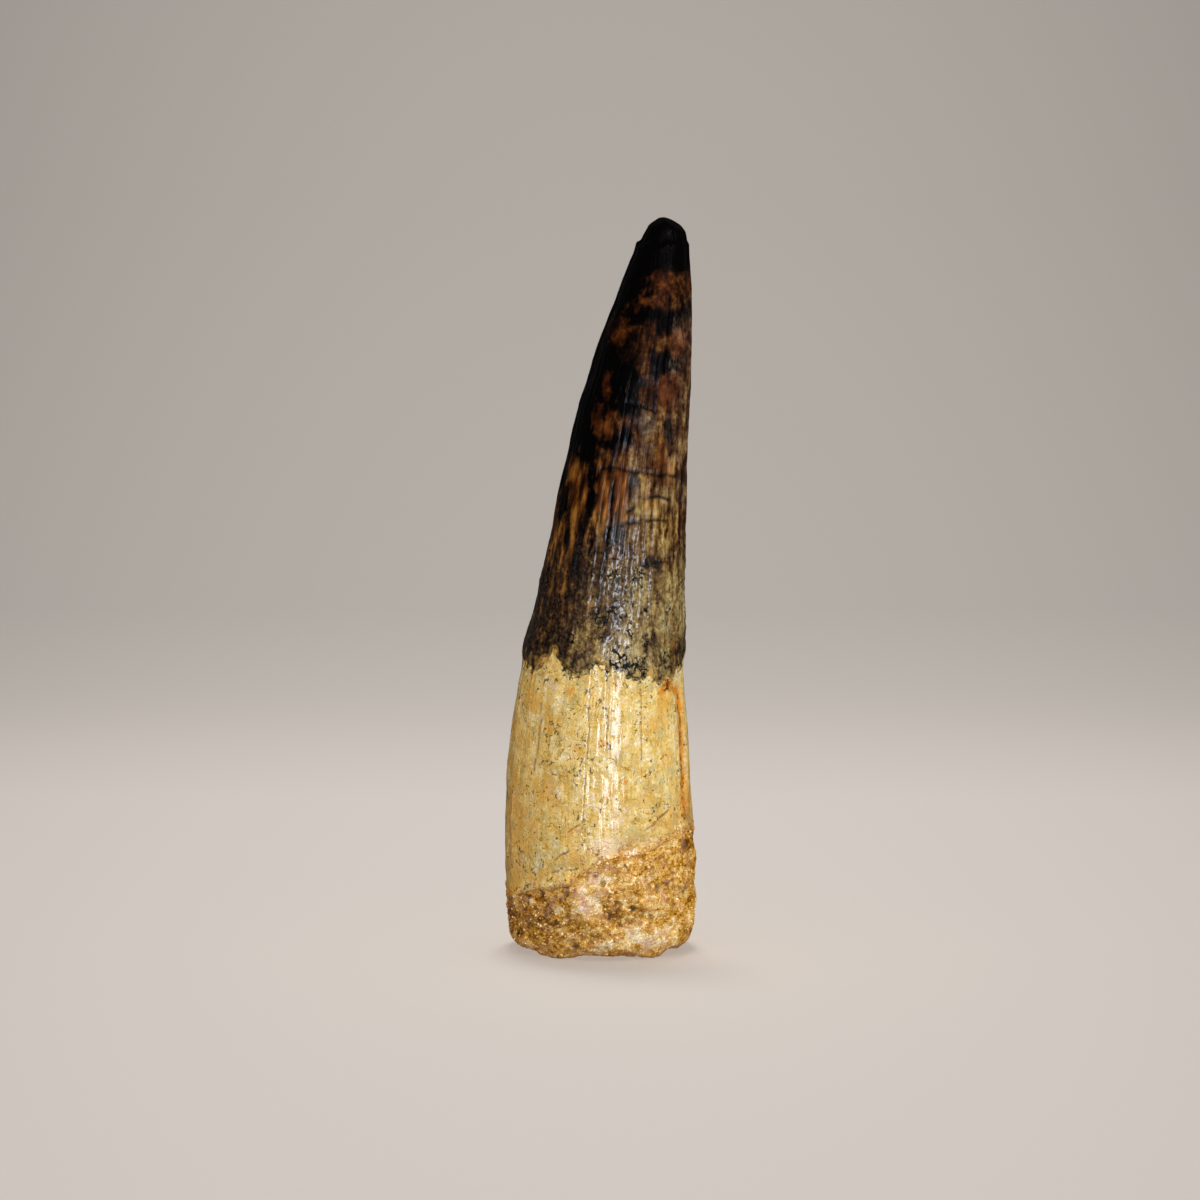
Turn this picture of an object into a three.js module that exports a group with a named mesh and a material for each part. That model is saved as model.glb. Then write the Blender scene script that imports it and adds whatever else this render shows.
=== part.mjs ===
// A fossil tooth of Spinosaurus: a fluted enamel crown on a smooth root, with hard sandstone
// cemented on the root's broken end. It stands upright on the flat spot under the stone.
// Millimetres, +Z up, origin under the middle of the stone. +X is the straight rear edge of
// the tooth, -X the long sloping front edge, and -Y the outer side.
import * as THREE from "three";
import { ImprovedNoise } from "three/addons/math/ImprovedNoise.js";

// Driving dimensions
const HEIGHT = 100; // flat spot to tip
const DOME_HEIGHT = 3; // worn tip above its chipped rim
const DOME_HALF_WIDTH = 2.9;
const DOME_SHARPNESS = 1.25; // 1 would be an even dome
const NECK_HEIGHT = 39.6; // where the enamel of the crown ends
const ENAMEL_STEP = 0.25; // thickness of the enamel at that edge
const NECK_BAND = 0.5; // height over which the enamel thins out
const BREAK_HEIGHT = 13.8; // middle of the sloping break at the root's end
const BREAK_SLOPE = 0.39; // rise of the break towards the rear edge, per millimetre
const BREAK_ROUGHNESS = 0.7;
const SEAM = 0.3; // gap between the root and the stone
const ROOT_DEPTH_SHARE = 0.8; // thickness over width of the root
const TIP_DEPTH_SHARE = 0.88; // and near the tip
const BOW = 2; // how far the tip leans to the inner side
const EDGE_RIDGE = 0.35; // cutting ridge that runs down the front and rear edges
const EDGE_RIDGE_ANGLE = 0.09; // its half width, in radians
const FLUTE_DEPTH = 0.36;
const FLUTES = 40; // round the crown
const CRACK_DEPTH = 0.4; // of the long splits in the root
const ROOT_SWELL = 0.22; // gentle unevenness of the root
const STONE_PROUD = 0.22; // how far the stone stands out from the root
const STONE_LUMP = 0.4;
const STONE_GRAIN = 0.22;
const FOOT_SHARE = 0.52; // share of the stone's width that is the flat spot
const RIM_ROUNDING = 0.35; // how far the stone's lower edge is worn in

// Facets
const TOOTH_AROUND = 2 * FLUTES; // one ridge and one groove for each flute
const CROWN_ROWS = 24;
const DOME_ROWS = 3;
const ROOT_ROWS = 11;
const BREAK_ROWS = 3;
const STONE_AROUND = 72;
const STONE_ROWS = 9;
const FOOT_ROWS = 5;

// Seen from the outer side: height, front edge, rear edge.
const OUTLINE = [
  [0, -12.0, 12.5],
  [3, -12.1, 12.9],
  [8, -12.7, 13.3],
  [14, -12.7, 13.3],
  [24, -12.4, 12.9],
  [32, -11.7, 12.3],
  [39, -10.8, 12.2],
  [48, -8.5, 11.8],
  [59, -6.2, 11.9],
  [70, -3.8, 12.1],
  [80, -0.9, 12.5],
  [88, 2.0, 12.5],
  [94, 4.4, 12.2],
  [97, 5.7, 11.9],
];

// Bumps and dips round a line: angle in degrees from the rear edge, rise, half width in degrees.
const NECK_WAVES = [
  [-134, 1.7, 9],
  [-113, -0.7, 8],
  [-96, 1.1, 8],
  [-37, -2.7, 15],
  [38, 1.3, 17],
  [95, -1.7, 15],
  [141, 1.1, 12],
];

// The stone's lower rim is broken away between the lobes that reach the ground: angle, height.
const RIM = [
  [-180, 1.1],
  [-165, 0.9],
  [-142, 0.8],
  [-129, 0.1],
  [-116, 0],
  [-100, 0.8],
  [-80, 0.6],
  [-69, 0.8],
  [-59, 0.1],
  [-46, 0.2],
  [-35, 0.6],
  [-16, 0.8],
  [0, 1.2],
  [22, 0.9],
  [48, 0.1],
  [68, 0],
  [86, 0.8],
  [106, 1.1],
  [126, 0.1],
  [142, 0],
  [160, 0.7],
  [180, 1.1],
];

// Long splits in the root: angle in degrees, lower and upper height, share of the full depth.
const ROOT_CRACKS = [
  [-18, 21, 37, 1],
  [-63, 18, 34, 0.35],
  [-94.5, 19, 39, 0.5],
  [-130.5, 24, 36, 0.4],
  [40.5, 17, 33, 0.7],
  [94.5, 22, 38, 0.5],
  [148.5, 15, 34, 0.6],
];

const DEGREE = Math.PI / 180;
const noise = new ImprovedNoise();

// Unevenness from about -1 to 1, with one swell in each `size` millimetres.
function swell(point, size, shift = 0) {
  return 1.6 * noise.noise(point.x / size + shift, point.y / size + shift, point.z / size);
}

// A smooth curve through [height, value] pairs.
function curveThrough(pairs) {
  const heights = pairs.map((pair) => pair[0]);
  const values = pairs.map((pair) => pair[1]);
  const curve = new THREE.CubicInterpolant(heights, values, 1);
  return (height) => curve.evaluate(height)[0];
}

// The sum of the bumps in a list at one angle.
function bumps(list, angle) {
  return list.reduce((sum, [degrees, rise, width]) => {
    const away = Math.atan2(Math.sin(angle - degrees * DEGREE), Math.cos(angle - degrees * DEGREE));
    return sum + rise * Math.exp(-((away / (width * DEGREE)) ** 2));
  }, 0);
}

const frontEdge = curveThrough(OUTLINE.map(([height, front]) => [height, front]));
const rearEdge = curveThrough(OUTLINE.map(([height, , rear]) => [height, rear]));
const DOME_BASE = HEIGHT - DOME_HEIGHT;

// A point on the smooth outside at an angle and height, moved out by `relief`.
function outside(angle, height, relief = 0) {
  const front = frontEdge(height);
  const rear = rearEdge(height);
  const halfWidth = (rear - front) / 2 - EDGE_RIDGE;
  const depthShare = THREE.MathUtils.mapLinear(height, 0, HEIGHT, ROOT_DEPTH_SHARE, TIP_DEPTH_SHARE);
  const acrossX = Math.cos(angle);
  const acrossY = Math.sin(angle);
  return new THREE.Vector3(
    (front + rear) / 2 + acrossX * (halfWidth + relief),
    BOW * (height / HEIGHT) ** 2 + acrossY * (halfWidth * depthShare + relief),
    height,
  );
}

// The cutting ridge at angle 0 and half a turn.
function edgeRidge(angle) {
  return EDGE_RIDGE * Math.exp(-((Math.sin(angle) / EDGE_RIDGE_ANGLE) ** 2));
}

function neckHeight(angle) {
  return NECK_HEIGHT + bumps(NECK_WAVES, angle);
}

// The break's height over a point seen from above.
function breakHeight(x, y) {
  const rough = swell(new THREE.Vector3(x, y, 0), 4.5, 7) * BREAK_ROUGHNESS;
  return BREAK_HEIGHT + BREAK_SLOPE * x + rough;
}

// Where the break meets the outside at an angle.
function breakEdge(angle) {
  let height = BREAK_HEIGHT;
  for (let step = 0; step < 8; step++) {
    const point = outside(angle, height);
    height = breakHeight(point.x, point.y);
  }
  return height;
}

// Angles of a ring, anticlockwise from the rear edge as seen from above.
function anglesAround(count) {
  return Array.from({ length: count }, (_, i) => (i * 2 * Math.PI) / count);
}

// A closed solid from a top point down through rings to a bottom point.
function loft(top, rings, bottom) {
  const around = rings[0].length;
  const points = [top, ...rings.flat(), bottom];
  const faces = [];
  const lastRing = 1 + (rings.length - 1) * around;
  for (let i = 0; i < around; i++) {
    const next = (i + 1) % around;
    faces.push(0, 1 + i, 1 + next);
    for (let row = 0; row < rings.length - 1; row++) {
      const upper = 1 + row * around;
      const lower = upper + around;
      faces.push(upper + i, lower + i, lower + next);
      faces.push(upper + i, lower + next, upper + next);
    }
    faces.push(lastRing + next, lastRing + i, points.length - 1);
  }
  const geometry = new THREE.BufferGeometry().setFromPoints(points);
  geometry.setIndex(faces);
  return geometry;
}

// Rings that run in from an edge ring to its middle, at the height that `surface` gives.
function ringsInward(edge, middle, rows, surface) {
  return Array.from({ length: rows }, (_, row) => {
    const share = 1 - (row + 1) / (rows + 1);
    return edge.map((point) => {
      const x = THREE.MathUtils.lerp(middle.x, point.x, share);
      const y = THREE.MathUtils.lerp(middle.y, point.y, share);
      return new THREE.Vector3(x, y, surface(x, y, share));
    });
  });
}

// Flutes fade out just above the neck and towards the worn tip.
function fluteFade(rise) {
  return THREE.MathUtils.smoothstep(rise, 0.01, 0.1) * (1 - 0.75 * THREE.MathUtils.smoothstep(rise, 0.7, 1));
}

function crownRing(rise) {
  return anglesAround(TOOTH_AROUND).map((angle, i) => {
    const neck = neckHeight(angle) + NECK_BAND;
    const height = THREE.MathUtils.lerp(neck, DOME_BASE, rise);
    const groove = i % 2 ? FLUTE_DEPTH * fluteFade(rise) : 0;
    const uneven = 0.1 * swell(outside(angle, height), 5);
    return outside(angle, height, edgeRidge(angle) - groove + uneven);
  });
}

// The worn dome: rings from near the top down to the chipped rim.
function domeRing(lift) {
  const rim = outside(0, DOME_BASE);
  const middleX = (frontEdge(DOME_BASE) + rearEdge(DOME_BASE)) / 2;
  return anglesAround(TOOTH_AROUND).map((angle) => {
    const reach = DOME_HALF_WIDTH * Math.cos(lift) ** DOME_SHARPNESS;
    const worn = 1 + 0.06 * Math.sin(3 * angle + 1);
    return new THREE.Vector3(
      middleX + reach * worn * Math.cos(angle),
      BOW * (DOME_BASE / HEIGHT) ** 2 + reach * worn * TIP_DEPTH_SHARE * Math.sin(angle),
      rim.z + DOME_HEIGHT * Math.sin(lift),
    );
  });
}

// The long splits, as a depth at an angle and height.
function crackDepth(angle, height) {
  const halfColumn = Math.PI / TOOTH_AROUND;
  return ROOT_CRACKS.reduce((deepest, [degrees, low, high, share]) => {
    const away = Math.abs(Math.sin((angle - degrees * DEGREE) / 2)) * 2;
    const inside = away < halfColumn && height > low && height < high;
    return inside ? Math.max(deepest, CRACK_DEPTH * share) : deepest;
  }, 0);
}

function rootRing(rise) {
  return anglesAround(TOOTH_AROUND).map((angle) => {
    const height = THREE.MathUtils.lerp(breakEdge(angle) + SEAM / 2, neckHeight(angle), rise);
    const place = outside(angle, height);
    const step = ENAMEL_STEP * THREE.MathUtils.smoothstep(rise, 0.6, 1);
    const ridge = edgeRidge(angle) * 0.6;
    return outside(angle, height, ridge - step + ROOT_SWELL * swell(place, 7) - crackDepth(angle, height));
  });
}

function makeTooth() {
  const middleX = (frontEdge(DOME_BASE) + rearEdge(DOME_BASE)) / 2;
  const tip = new THREE.Vector3(middleX, BOW * (DOME_BASE / HEIGHT) ** 2, HEIGHT);
  const rings = [];
  for (let row = DOME_ROWS; row >= 0; row--) {
    rings.push(domeRing((row / (DOME_ROWS + 1)) * (Math.PI / 2)));
  }
  for (let row = CROWN_ROWS; row >= 0; row--) {
    rings.push(crownRing(row / CROWN_ROWS));
  }
  for (let row = ROOT_ROWS; row >= 0; row--) {
    rings.push(rootRing(row / ROOT_ROWS));
  }
  const end = rings.at(-1);
  const middle = new THREE.Vector3(0, 0, breakHeight(0, 0) + SEAM / 2);
  rings.push(...ringsInward(end, middle, BREAK_ROWS, (x, y) => breakHeight(x, y) + SEAM / 2));
  return loft(tip, rings, middle);
}

const rimCurve = curveThrough(RIM);

function rimHeight(angle) {
  const turned = Math.atan2(Math.sin(angle), Math.cos(angle));
  return Math.max(0, rimCurve(turned / DEGREE));
}

function stoneRing(rise) {
  return anglesAround(STONE_AROUND).map((angle) => {
    const top = breakEdge(angle) - SEAM / 2;
    const height = THREE.MathUtils.lerp(rimHeight(angle), top, rise);
    const place = outside(angle, height);
    const lump = STONE_LUMP * swell(place, 3.4, 3) + STONE_GRAIN * swell(place, 1.3, 11);
    const rounding = RIM_ROUNDING * (1 - THREE.MathUtils.smoothstep(rise, 0, 0.14));
    return outside(angle, height, STONE_PROUD + lump - rounding);
  });
}

// The underside rises from the flat spot to the rim, with pits on the way.
function undersideHeight(x, y, share) {
  const rise = THREE.MathUtils.smoothstep(share, FOOT_SHARE, 1);
  const pits = Math.max(0, swell(new THREE.Vector3(x, y, 5), 2.1, 5));
  return rise * (0.8 * rimHeight(Math.atan2(y, x)) + 0.7 * pits);
}

function makeStone() {
  const rings = [];
  for (let row = STONE_ROWS; row >= 0; row--) {
    rings.push(stoneRing(row / STONE_ROWS));
  }
  const middle = new THREE.Vector3(0, 0, breakHeight(0, 0) - SEAM / 2);
  const topRings = ringsInward(rings[0], middle, BREAK_ROWS, (x, y) => breakHeight(x, y) - SEAM / 2);
  const foot = new THREE.Vector3(0, 0, 0);
  const footRings = ringsInward(rings.at(-1), foot, FOOT_ROWS, undersideHeight);
  return loft(middle, [...topRings.reverse(), ...rings, ...footRings], foot);
}

function addPiece(group, name, geometry, look) {
  const flat = geometry.toNonIndexed();
  flat.computeVertexNormals();
  const mesh = new THREE.Mesh(flat, new THREE.MeshStandardMaterial(look));
  mesh.name = name;
  group.add(mesh);
}

const fossil = new THREE.Group();
fossil.name = "spinosaurus_tooth";
addPiece(fossil, "tooth", makeTooth(), { color: 0x8a6234, roughness: 0.38, metalness: 0 });
addPiece(fossil, "sandstone", makeStone(), { color: 0xc4924c, roughness: 0.85, metalness: 0 });

// The origin goes under the middle of the whole outline.
const middle = new THREE.Box3().setFromObject(fossil).getCenter(new THREE.Vector3());
for (const piece of fossil.children) {
  piece.geometry.translate(-middle.x, -middle.y, 0);
}

export default fossil;
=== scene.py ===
"""A fossil Spinosaurus tooth on its sandstone, standing in a plain pale studio.

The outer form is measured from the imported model. Three fine meshes are laid on it: the fluted
enamel crown, the dentine root and the sandstone, and loose sand grains are set on the stone.
Lengths are in millimetres until a mesh is made.
"""

import math

import bmesh
import bpy
import numpy as np
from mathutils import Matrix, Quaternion, Vector
from mathutils.bvhtree import BVHTree
from mathutils.kdtree import KDTree


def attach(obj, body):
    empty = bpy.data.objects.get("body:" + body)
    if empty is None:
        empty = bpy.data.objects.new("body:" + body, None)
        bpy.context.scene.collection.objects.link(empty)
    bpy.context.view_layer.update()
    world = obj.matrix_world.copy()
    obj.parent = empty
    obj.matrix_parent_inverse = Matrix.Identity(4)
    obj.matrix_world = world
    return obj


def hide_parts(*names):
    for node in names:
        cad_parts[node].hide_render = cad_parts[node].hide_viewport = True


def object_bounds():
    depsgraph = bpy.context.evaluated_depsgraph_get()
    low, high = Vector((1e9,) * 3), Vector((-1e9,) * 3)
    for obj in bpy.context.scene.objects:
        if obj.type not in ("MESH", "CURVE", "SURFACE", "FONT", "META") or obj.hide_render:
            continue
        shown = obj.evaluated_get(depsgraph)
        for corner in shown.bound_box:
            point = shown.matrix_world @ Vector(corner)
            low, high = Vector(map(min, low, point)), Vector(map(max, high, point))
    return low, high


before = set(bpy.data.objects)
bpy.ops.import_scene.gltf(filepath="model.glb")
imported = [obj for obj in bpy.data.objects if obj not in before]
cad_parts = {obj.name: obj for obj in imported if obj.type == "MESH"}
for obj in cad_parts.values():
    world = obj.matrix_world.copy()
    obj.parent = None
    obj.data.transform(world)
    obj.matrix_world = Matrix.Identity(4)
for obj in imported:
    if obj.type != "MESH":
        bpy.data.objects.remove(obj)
cad_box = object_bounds()

MM = 0.001
HEIGHT = (cad_box[1].z - cad_box[0].z) / MM

# The tooth, as in the model
FLUTES = 40
FLUTE_DEPTH = 0.13
REAR_FULLNESS = 0.28
NECK_HEIGHT = 39.6
NECK_WAVES = (
    (-134, 1.3, 10), (-113, -0.6, 9), (-96, 0.8, 9), (-37, -2.0, 18),
    (38, 1.1, 17), (95, -1.4, 15), (141, 0.9, 12),
)  # angle in degrees, rise, half width in degrees
BREAK_HEIGHT = 13.8
BREAK_SLOPE = 0.39
BREAK_HALF_WIDTH = 12.5
BREAK_LINE = (
    (-12.5, 8.6), (-8.0, 9.3), (-5.0, 9.9), (-3.4, 11.0), (-1.5, 13.1),
    (1.0, 14.4), (5.0, 14.9), (8.0, 15.4), (10.5, 16.2), (12.5, 16.8),
)  # across, height

# Lightness of the clean enamel by height
ENAMEL_LIGHT = (
    (40, 0.60), (48, 0.56), (58, 0.48), (66, 0.39), (76, 0.28), (86, 0.20), (92, 0.11), (95, -0.4),
)

# The measured form: rows run up the axis to the dome's centre, then over the dome
DOME_CENTRE = 95.0
DOME_ARC = 5.6
SHELL_COLUMNS = 480
SHELL_STEP = 0.25
CAST_REACH = 30.0
UNROLLED_RADIUS = 11.5

# Fineness of the meshes
CROWN_GRID = (246, 396)
ROOT_GRID = (232, 420)
STONE_SIDE_ROWS = 176
STONE_UNDER_ROWS = 66
STONE_COLUMNS = 400

# Marks on the outer side: middle across and up, half width, half height, strength
DARK_MARKS = (
    (8.1, 86.7, 3.0, 0.6, 1.0), (9.0, 85.8, 1.1, 1.5, 1.0), (8.6, 80.0, 1.5, 1.3, 1.0),
    (3.3, 77.1, 1.4, 3.0, 0.8), (-1.1, 76.1, 2.2, 3.6, 0.8), (2.9, 74.3, 1.9, 0.5, 1.0),
    (1.4, 70.4, 1.2, 0.9, 1.0), (3.3, 70.7, 0.7, 0.8, 0.9), (8.9, 70.9, 0.6, 2.7, 0.7),
    (-1.3, 63.0, 0.5, 2.2, 0.8), (1.6, 63.0, 0.35, 3.0, 0.6), (-2.9, 69.7, 1.4, 1.9, 0.9),
    (1.0, 65.8, 1.4, 0.6, 0.9), (4.1, 64.9, 0.7, 1.2, 0.8), (1.7, 57.5, 0.9, 2.4, 0.9),
    (6.7, 53.5, 1.6, 0.8, 0.9), (-1.1, 56.0, 0.5, 1.5, 0.9), (6.7, 42.5, 1.2, 1.1, 0.8),
    (0.1, 43.9, 0.8, 0.5, 0.8), (-5.2, 40.4, 1.9, 0.7, 0.9), (10.8, 40.8, 1.3, 2.2, 0.7),
    (-5.5, 61.0, 0.8, 2.4, 0.7), (11.5, 57.5, 2.6, 5.0, 0.3), (-2.4, 58.0, 0.8, 3.6, 0.3),
    (7.0, 87.0, 2.0, 0.5, 0.9),
)
WARM_MARKS = (
    (8.1, 90.7, 2.6, 1.8, 0.48), (5.4, 88.1, 1.6, 0.8, 0.6), (10.8, 82.9, 1.3, 2.0, 0.8),
    (0.8, 77.2, 0.7, 2.5, 0.6), (-0.4, 72.7, 0.8, 1.9, 0.8), (1.2, 72.9, 0.5, 1.8, 0.9),
    (9.2, 76.3, 1.5, 2.6, 1.15), (8.1, 67.6, 0.9, 3.3, 0.9), (-5.5, 49.9, 3.2, 4.1, 0.35),
    (2.7, 63.6, 1.1, 4.6, 1.3), (0.3, 62.5, 1.0, 4.4, 1.2), (9.0, 65.6, 0.9, 2.2, 0.8),
    (7.0, 63.6, 1.2, 3.6, 0.6), (7.7, 51.3, 0.5, 2.0, 0.8), (9.4, 43.0, 0.8, 1.6, 0.6),
    (-7.4, 57.0, 1.8, 4.2, 0.7), (-4.6, 54.6, 1.2, 3.0, 0.45), (2.4, 84.6, 1.8, 2.2, 0.5),
    (-8.6, 50.0, 1.4, 3.0, 0.3), (-6.6, 63.0, 1.4, 4.5, 0.45), (-3.0, 62.5, 1.3, 5.5, 0.7),
)
# Grey patches; those low in the middle, along the key light's reflection, are painted highlight
GREY_AND_GLINT_MARKS = (
    (6.0, 72.2, 1.3, 2.0, 0.9), (5.4, 68.0, 1.6, 2.0, 0.45), (4.0, 76.5, 1.4, 2.5, 0.35),
    (2.7, 56.3, 1.9, 4.0, 0.7), (1.3, 46.2, 2.4, 4.0, 0.85), (9.2, 53.9, 1.6, 1.4, 0.6),
    (2.4, 51.2, 2.0, 3.0, 0.9), (4.6, 39.6, 2.0, 1.6, 0.8), (7.4, 62.9, 2.0, 1.2, 0.6),
    (4.4, 64.0, 1.1, 4.2, 0.7), (0.6, 54.0, 1.2, 2.4, 0.6),
)
PALE_MARKS = (
    (1.6, 67.0, 1.9, 1.9, 0.6), (7.4, 58.8, 2.4, 2.2, 0.3), (9.2, 47.8, 1.8, 4.8, 0.8),
    (-0.1, 59.6, 1.1, 3.0, 0.6), (-2.4, 63.5, 0.9, 3.5, 0.3), (4.3, 48.9, 2.4, 5.5, 0.6),
    (-1.9, 43.5, 1.9, 1.6, 0.8), (11.0, 48.5, 2.5, 4.5, 0.6), (2.8, 41.2, 3.8, 1.8, 1.2),
    (4.0, 62.0, 2.6, 2.6, 0.5), (-0.6, 42.4, 2.4, 1.6, 0.6),
)
STAIN_MARKS = (
    (8.9, 36.4, 1.2, 0.9, 1.0), (-4.0, 36.7, 0.35, 0.6, 0.7), (0.5, 29.3, 0.9, 0.7, 0.6),
    (-1.1, 14.8, 2.0, 0.8, 0.5), (-2.1, 11.4, 1.4, 0.6, 0.6), (11.4, 20.4, 0.8, 3.4, 0.8),
    (12.3, 12.8, 1.0, 3.4, 0.5), (3.6, 24.0, 0.4, 0.5, 0.8),
)
OCHRE_MARKS = (
    (-7.2, 23.6, 1.8, 2.6, 1.0), (-3.5, 14.0, 2.6, 1.0, 0.8), (-8.6, 11.2, 3.6, 1.0, 1.2),
    (0.9, 13.7, 0.9, 0.8, 1.0), (11.6, 24.0, 0.8, 4.0, 0.4), (8.8, 35.5, 1.4, 1.6, 0.6),
    (9.5, 19.0, 1.5, 1.2, 0.6), (-9.5, 35.0, 1.6, 2.2, 0.6), (-11.4, 17.0, 2.2, 9.0, 1.0),
    (12.2, 27.0, 1.2, 6.0, 0.25),
)
BLUSH_MARKS = (
    (0.9, 15.4, 2.7, 1.8, 1.0), (2.7, 19.7, 1.6, 1.8, 0.6), (6.8, 16.0, 2.0, 0.9, 0.8),
    (1.2, 34.0, 1.0, 3.0, 0.5), (-1.0, 22.0, 1.4, 1.6, 0.5), (-6.5, 37.5, 1.6, 1.4, 0.6),
)
STONE_PALE_MARKS = (
    (-2.1, 8.3, 2.0, 2.0, 1.0), (0.0, 11.0, 1.6, 1.4, 0.8), (-9.5, 7.6, 0.8, 0.6, 0.9),
    (5.4, 2.8, 2.8, 1.3, 1.0), (-5.5, 6.7, 0.8, 0.7, 0.9), (8.1, 7.6, 1.6, 1.6, 0.5),
    (0.0, 2.2, 1.6, 0.8, 0.5), (5.4, 11.0, 1.5, 1.2, 0.4), (9.0, 3.4, 2.8, 2.4, 0.25),
)
STONE_DARK_MARKS = (
    (-4.1, 9.3, 1.3, 0.7, 0.9), (-8.8, 5.2, 3.0, 2.6, 0.5), (-12.0, 4.9, 0.7, 1.8, 1.0),
    (11.8, 15.0, 0.9, 1.2, 0.7), (9.0, 7.4, 1.4, 0.8, 0.4), (2.0, 6.3, 1.5, 1.0, 0.4),
    (-6.1, 4.9, 0.6, 0.4, 1.0), (-9.0, 8.7, 3.0, 0.35, 0.8),
)
SOOT_MARKS = (
    (-3.8, 25.6, 1.9, 1.6, 0.55), (8.6, 20.5, 2.0, 1.4, 0.35), (-9.5, 13.2, 2.5, 2.4, 0.35),
    (5.4, 32.0, 0.9, 2.4, 0.4), (-5.0, 31.5, 1.8, 2.0, 0.35), (11.9, 18.0, 0.9, 1.6, 0.5),
)

# Flat spalls of the tip: tilt above level and turn, in degrees, and the share of the reach kept
TIP_SPALLS = ((60, -140, 0.94), (52, -25, 0.94), (60, 65, 0.94), (45, 150, 0.95))

# Thin cracks as lines of points across and up, then half width and depth
CROWN_CRACKS = (
    (((3.4, 75.0), (5.1, 74.7), (6.2, 74.3), (7.6, 73.9)), 0.22, 0.12),
    (
        ((-0.6, 64.7), (0.2, 66.2), (1.6, 66.5), (3.4, 66.0), (5.4, 65.8), (7.6, 65.3), (9.7, 65.0)),
        0.24,
        0.12,
    ),
    (((3.6, 60.6), (4.6, 61.4), (6.2, 62.4), (7.8, 62.5), (8.9, 62.0)), 0.26, 0.13),
    (((2.8, 58.9), (5.4, 59.3), (7.3, 59.4), (8.6, 59.1)), 0.21, 0.10),
    (((0.4, 53.2), (0.8, 51.0), (0.5, 49.0)), 0.10, 0.06),
    (((4.0, 54.4), (3.9, 51.5), (4.1, 49.2)), 0.12, 0.07),
    (((-2.6, 39.6), (-1.0, 40.7), (0.4, 40.3)), 0.14, 0.08),
    (((-5.9, 41.2), (-4.6, 40.2), (-3.7, 38.8)), 0.16, 0.08),
    (((7.6, 42.4), (8.2, 40.6), (9.0, 38.6)), 0.15, 0.08),
    (((2.2, 43.2), (3.3, 42.4), (4.6, 43.0)), 0.12, 0.06),
)
ROOT_CRACKS = (
    (
        ((-1.1, 41.5), (-1.3, 38.0), (-1.5, 35.4), (-1.6, 31.0), (-1.9, 27.3), (-2.2, 22.0), (-2.5, 18.0)),
        0.10,
        0.07,
    ),
    (((-7.5, 38.0), (-7.8, 36.4), (-8.2, 33.0)), 0.09, 0.03),
    (((-8.0, 32.4), (-8.3, 29.6), (-8.9, 25.5)), 0.10, 0.04),
    (((1.1, 39.0), (1.0, 35.1), (0.9, 31.7), (0.8, 28.4)), 0.09, 0.04),
    (((5.3, 38.4), (5.4, 34.6), (5.5, 27.2)), 0.10, 0.03),
    (((6.0, 17.6), (7.3, 18.4), (8.6, 19.6), (9.1, 20.2)), 0.10, 0.12),
    (((-4.4, 17.6), (-3.4, 18.3), (-2.5, 19.2)), 0.11, 0.10),
    (((-6.3, 13.6), (-5.4, 14.4), (-4.2, 15.2)), 0.12, 0.10),
    (((-6.6, 11.9), (-5.7, 12.2)), 0.13, 0.08),
    (((-4.6, 12.4), (-3.2, 12.6)), 0.10, 0.07),
)
ORANGE_SPLIT = (
    ((8.9, 37.9), (10.0, 36.6), (10.7, 35.2), (11.0, 32.0), (11.1, 28.4), (11.3, 24.6), (11.3, 22.4)),
    0.3,
    0.3,
)
HALO_WIDTH = 2.6
HALO_STRENGTH = 0.5

# Studio
CAMERA_TARGET = (-0.05, 0.0, 47.8)
CAMERA_DISTANCE = 677.0
CAMERA_ELEVATION = 8.0
CAMERA_LENS = 150.0
CAMERA_SENSOR = 36.0
SWEEP_START = 190.0
SWEEP_RADIUS = 260.0
SWEEP_REACH = 2400.0
SWEEP_TOP = 140.0
# The paper's colour with painted light and shade: paler on the floor, deeper grey up the wall
PAPER_TONES_AND_SHADE = (
    (0.0, "#dcd6d0"), (0.19, "#dad4ce"), (0.27, "#d2ccc6"), (0.36, "#c5c0ba"), (0.45, "#bab6b0"),
    (0.62, "#bcb7b1"), (0.76, "#bdb8b2"), (0.88, "#c0bbb5"),
)  # share of the run over the floor and up the wall, then colour
PAPER_RUN = 600.0
# Painted fall-off of the light to both sides of the paper
PAPER_LIGHT_FALL = -0.95e-5
LIGHT_AIM = (2.0, 0.0, 45.0)


def smoothstep(values, low, high):
    """0 below low, 1 above high and smooth between."""
    share = np.clip((values - low) / (high - low), 0.0, 1.0)
    return share * share * (3.0 - 2.0 * share)


def lattice(cells, seed):
    """A random number from -1 to 1 for each cell of a grid."""
    mixed = cells[:, 0] * 73856093 ^ cells[:, 1] * 19349663 ^ cells[:, 2] * 83492791 ^ (seed * 7919)
    mixed = (mixed ^ (mixed >> 15)) * 2246822519 & 0xFFFFFFFF
    mixed = (mixed ^ (mixed >> 13)) * 3266489917 & 0xFFFFFFFF
    return ((mixed ^ (mixed >> 16)) & 0xFFFF) / 32767.5 - 1.0


def swell(points, size, seed=0):
    """Smooth unevenness from -1 to 1, with swells of the given size in millimetres."""
    scaled = points / np.asarray(size, float)
    cells = np.floor(scaled).astype(np.int64)
    share = scaled - cells
    share = share * share * (3.0 - 2.0 * share)
    total = np.zeros(len(points))
    for corner in np.ndindex(2, 2, 2):
        offset = np.array(corner)
        weight = np.prod(np.where(offset == 1, share, 1.0 - share), axis=1)
        total += weight * lattice(cells + offset, seed)
    return total


def around_bumps(bumps, angles):
    """The sum of bumps given by angle, rise and half width in degrees."""
    total = np.zeros(np.shape(angles))
    for degrees, rise, width in bumps:
        away = np.angle(np.exp(1j * (angles - math.radians(degrees))))
        total += rise * np.exp(-((away / math.radians(width)) ** 2))
    return total


# The outer form of the model

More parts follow.
